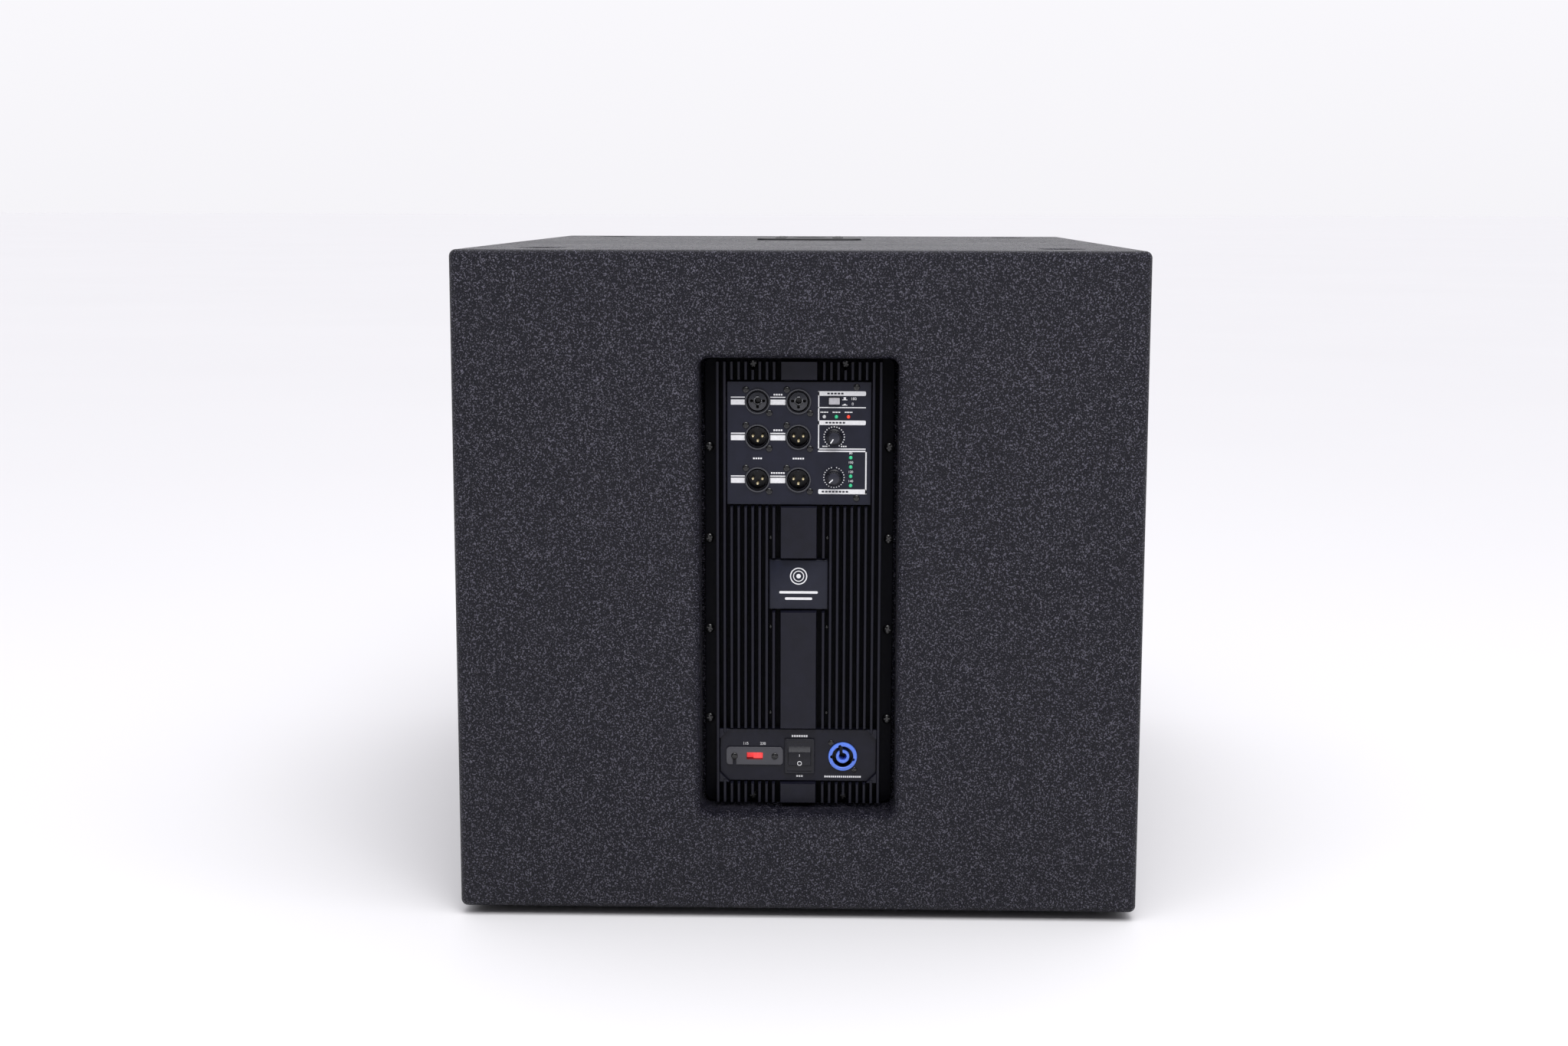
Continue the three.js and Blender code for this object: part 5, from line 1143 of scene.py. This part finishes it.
def grille():
    low, high = box_mm("front_grille")
    at = facing(((low.x + high.x) / 2, low.y, (low.z + high.z) / 2), 0)
    half_x, half_z, back = (high.x - low.x) / 2, (high.z - low.z) / 2, high.y - low.y
    size = (2 * half_x, 2 * half_z)
    rim = new_slab(rounded(0, 0, *size, 4.0), 0, back, 2.2)
    window = new_slab(rounded(0, 0, size[0] - 20, size[1] - 20, 5.0), -5, 5)
    inside = new_slab(rounded(0, 0, size[0] - 4, size[1] - 4, 3.0), 1.6, back + 5)
    piece("grille_rim", combined(rim, [window, inside]), STEEL, at, stands_for=("front_grille",))
    pitch, hole, sheet = 9.0, 4.25, 1.3
    cell = pitch / sqrt(3)
    row = cell * 1.5
    verts, faces = [], []
    columns, rows = int((half_x - 4) / pitch), int((half_z - 4) / row)
    for j in range(-rows, rows + 1):
        shift = pitch / 2 if j % 2 else 0.0
        for i in range(-columns, columns + (0 if j % 2 else 1)):
            cx, cz = i * pitch + shift, j * row
            near_edge = abs(cx) > half_x - 11 or abs(cz) > half_z - 11
            first = len(verts)
            for depth in (0.3, 0.3 + sheet):
                for reach in (cell, hole):
                    for corner in range(6):
                        angle = radians(30 + 60 * corner)
                        verts.append((cx + reach * cos(angle), depth, cz + reach * sin(angle)))
            if near_edge:
                faces.append([first + k for k in range(6)])
                faces.append([first + 17 - k for k in range(6)])
                continue
            for k in range(6):
                n = (k + 1) % 6
                faces.append((first + k, first + n, first + 6 + n, first + 6 + k))
                faces.append((first + 6 + k, first + 6 + n, first + 18 + n, first + 18 + k))
                faces.append((first + 12 + n, first + 12 + k, first + 18 + k, first + 18 + n))
    mesh = bpy.data.meshes.new("grille_sheet")
    mesh.from_pydata(verts, [], faces)
    made = bmesh.new()
    made.from_mesh(mesh)
    bpy.data.meshes.remove(mesh)
    bmesh.ops.remove_doubles(made, verts=made.verts, dist=0.01)
    piece("grille_sheet", made, STEEL, at)
    across, up = half_x - 6, half_z - 6
    places = mirrored(across, up) + [(0, up), (0, -up), (across, 0), (-across, 0)]
    screws("grille_screw", places, 2.8, 1.6, 0.05, at)


# ------------------------------------------------------------------ build the object
cabinet_shell()
heatsink()
power_pocket_slopes()
for jack_name in JACKS:
    if jack_name.startswith("combo"):
        combo_socket(jack_name)
    else:
        xlr_socket(jack_name)
    jack_at = rear_middle(jack_name)
    screws(jack_name + "_screw", [(jack_at.x - 10.2, jack_at.z + 10.2), (jack_at.x + 10.2, jack_at.z - 10.2)],
           2.9, 1.4, FACE)
master_at = knob("master_knob", 147)
dsp_at = knob("dsp_knob", 133)
phase_button()
lamps()
selector()
power_switch()
mains_inlet()
badge()
connector_print(master_at, dsp_at, rear_middle("phase_button"))
power_print()
side_rows = [-1 + step * 40.65 for step in (-3, -1, 1, 3)]
screws("amp_side_screw", [(side * 79.0, z) for z in side_rows for side in (-1, 1)], 4.2, 2.8, FLANGE)
screws("amp_end_screw", mirrored(*END_SCREW), 4.2, 2.8, FLANGE)
screws("plate_screw", [(50.0, 174.4), (50.4, 77.1)], 2.9, 1.4, FACE)
screws("inlet_screw", [(29.5, -143.0), (50.1, -167.0)], 2.6, 1.3, FACE)
groove_places = [(side * 25.0, z) for z in (-118.0, -40.0, 40.0) for side in (-1, 1)]
screws("groove_screw", groove_places, 1.7, 1.0, FLANGE)
pole_socket()
for handle_name in HANDLES:
    handle(handle_name)
for foot_name in ("foot_front_left", "foot_front_right", "foot_rear_left", "foot_rear_right"):
    foot(foot_name)
grille()
surround()
spider()


# ------------------------------------------------------------------ floor, light and camera
def stage():
    mesh = bpy.data.meshes.new("floor")
    half = 120.0
    corners = [(-half, -half, 0), (half, -half, 0), (half, half, 0), (-half, half, 0)]
    mesh.from_pydata(corners, [], [(0, 1, 2, 3)])
    mesh.materials.append(surface("floor_paper", (0.74, 0.735, 0.75), 0.9, mottle=0.004, mottle_scale=0.3))
    floor = bpy.data.objects.new("floor", mesh)
    scene.collection.objects.link(floor)


def world():
    """A pale studio: a bright ceiling and far wall, and a dim side that the rear panel faces."""
    made = bpy.data.worlds.new("studio")
    scene.world = made
    tree = Tree(made)
    split = tree.add("SeparateXYZ", Vector=tree.add("TexCoord").outputs["Generated"]).outputs
    total = None
    for axis, start, end, low, high in (
        ("Z", 0.25, 0.95, 0.05, 1.30),
        ("Y", -0.10, -0.90, 0.0, 0.75),
        ("X", 0.4, -0.9, 0.0, 0.10),
    ):
        glow = tree.span(split[axis], start, end, low, high).outputs["Result"]
        if total is None:
            total = glow
            continue
        both = tree.nodes.new("ShaderNodeMath")
        for socket, value in zip(both.inputs, (total, glow)):
            tree.fill(socket, value)
        total = both.outputs["Value"]
    sky = tree.span(split["Z"], -0.01, 0.16, 0.94, 1.0).outputs["Result"]
    seen = tree.add("LightPath").outputs["Is Camera Ray"]
    pick = tree.add("Mix", Factor=seen, A=total, B=sky).outputs["Result"]
    tree.put(tree.nodes["Background"], Color=(0.975, 0.965, 1.0, 1), Strength=pick)


def lamp(name, kind, location, target, energy, **settings):
    data = bpy.data.lights.new(name, kind)
    data.energy = energy
    for key, value in settings.items():
        setattr(data, key, value)
    made = bpy.data.objects.new(name, data)
    made.location = location
    made.rotation_mode = "QUATERNION"
    made.rotation_quaternion = (Vector(target) - Vector(location)).to_track_quat("-Z", "Y")
    scene.collection.objects.link(made)


def camera():
    """The rear view: a 50 mm lens on a 36 mm sensor, slightly above the cabinet."""
    yaw, pitch, roll = radians(-1.572), radians(8.349), radians(0.137)
    forward = Vector((-sin(yaw) * cos(pitch), -cos(yaw) * cos(pitch), -sin(pitch)))
    right = Vector((-cos(yaw), sin(yaw), 0))
    up = right.cross(forward)
    turned_right = right * cos(roll) + up * sin(roll)
    turned_up = up * cos(roll) - right * sin(roll)
    data = bpy.data.cameras.new("camera")
    data.lens, data.sensor_width, data.sensor_fit = 50.0, 36.0, "HORIZONTAL"
    made = bpy.data.objects.new("camera", data)
    turn = Matrix((turned_right, turned_up, -forward)).transposed().to_4x4()
    made.matrix_world = Matrix.Translation((-0.0389, 2.2686, 0.6293)) @ turn
    scene.collection.objects.link(made)
    scene.camera = made


stage()
world()
lamp("overhead", "SUN", (-0.25, 1.2, 3.4), (0, 0, 0), 0.85, angle=radians(50))
lamp("softbox", "AREA", (-0.5, 2.5, 2.9), (0, 0.4, 0.4), 36, shape="RECTANGLE", size=1.8, size_y=1.2)
lamp("skim", "AREA", (-0.10, 0.78, 1.35), (0, 0.48, 0.2), 3.5, shape="RECTANGLE", size=1.2, size_y=0.25)
camera()
scene.view_settings.view_transform = "Standard"
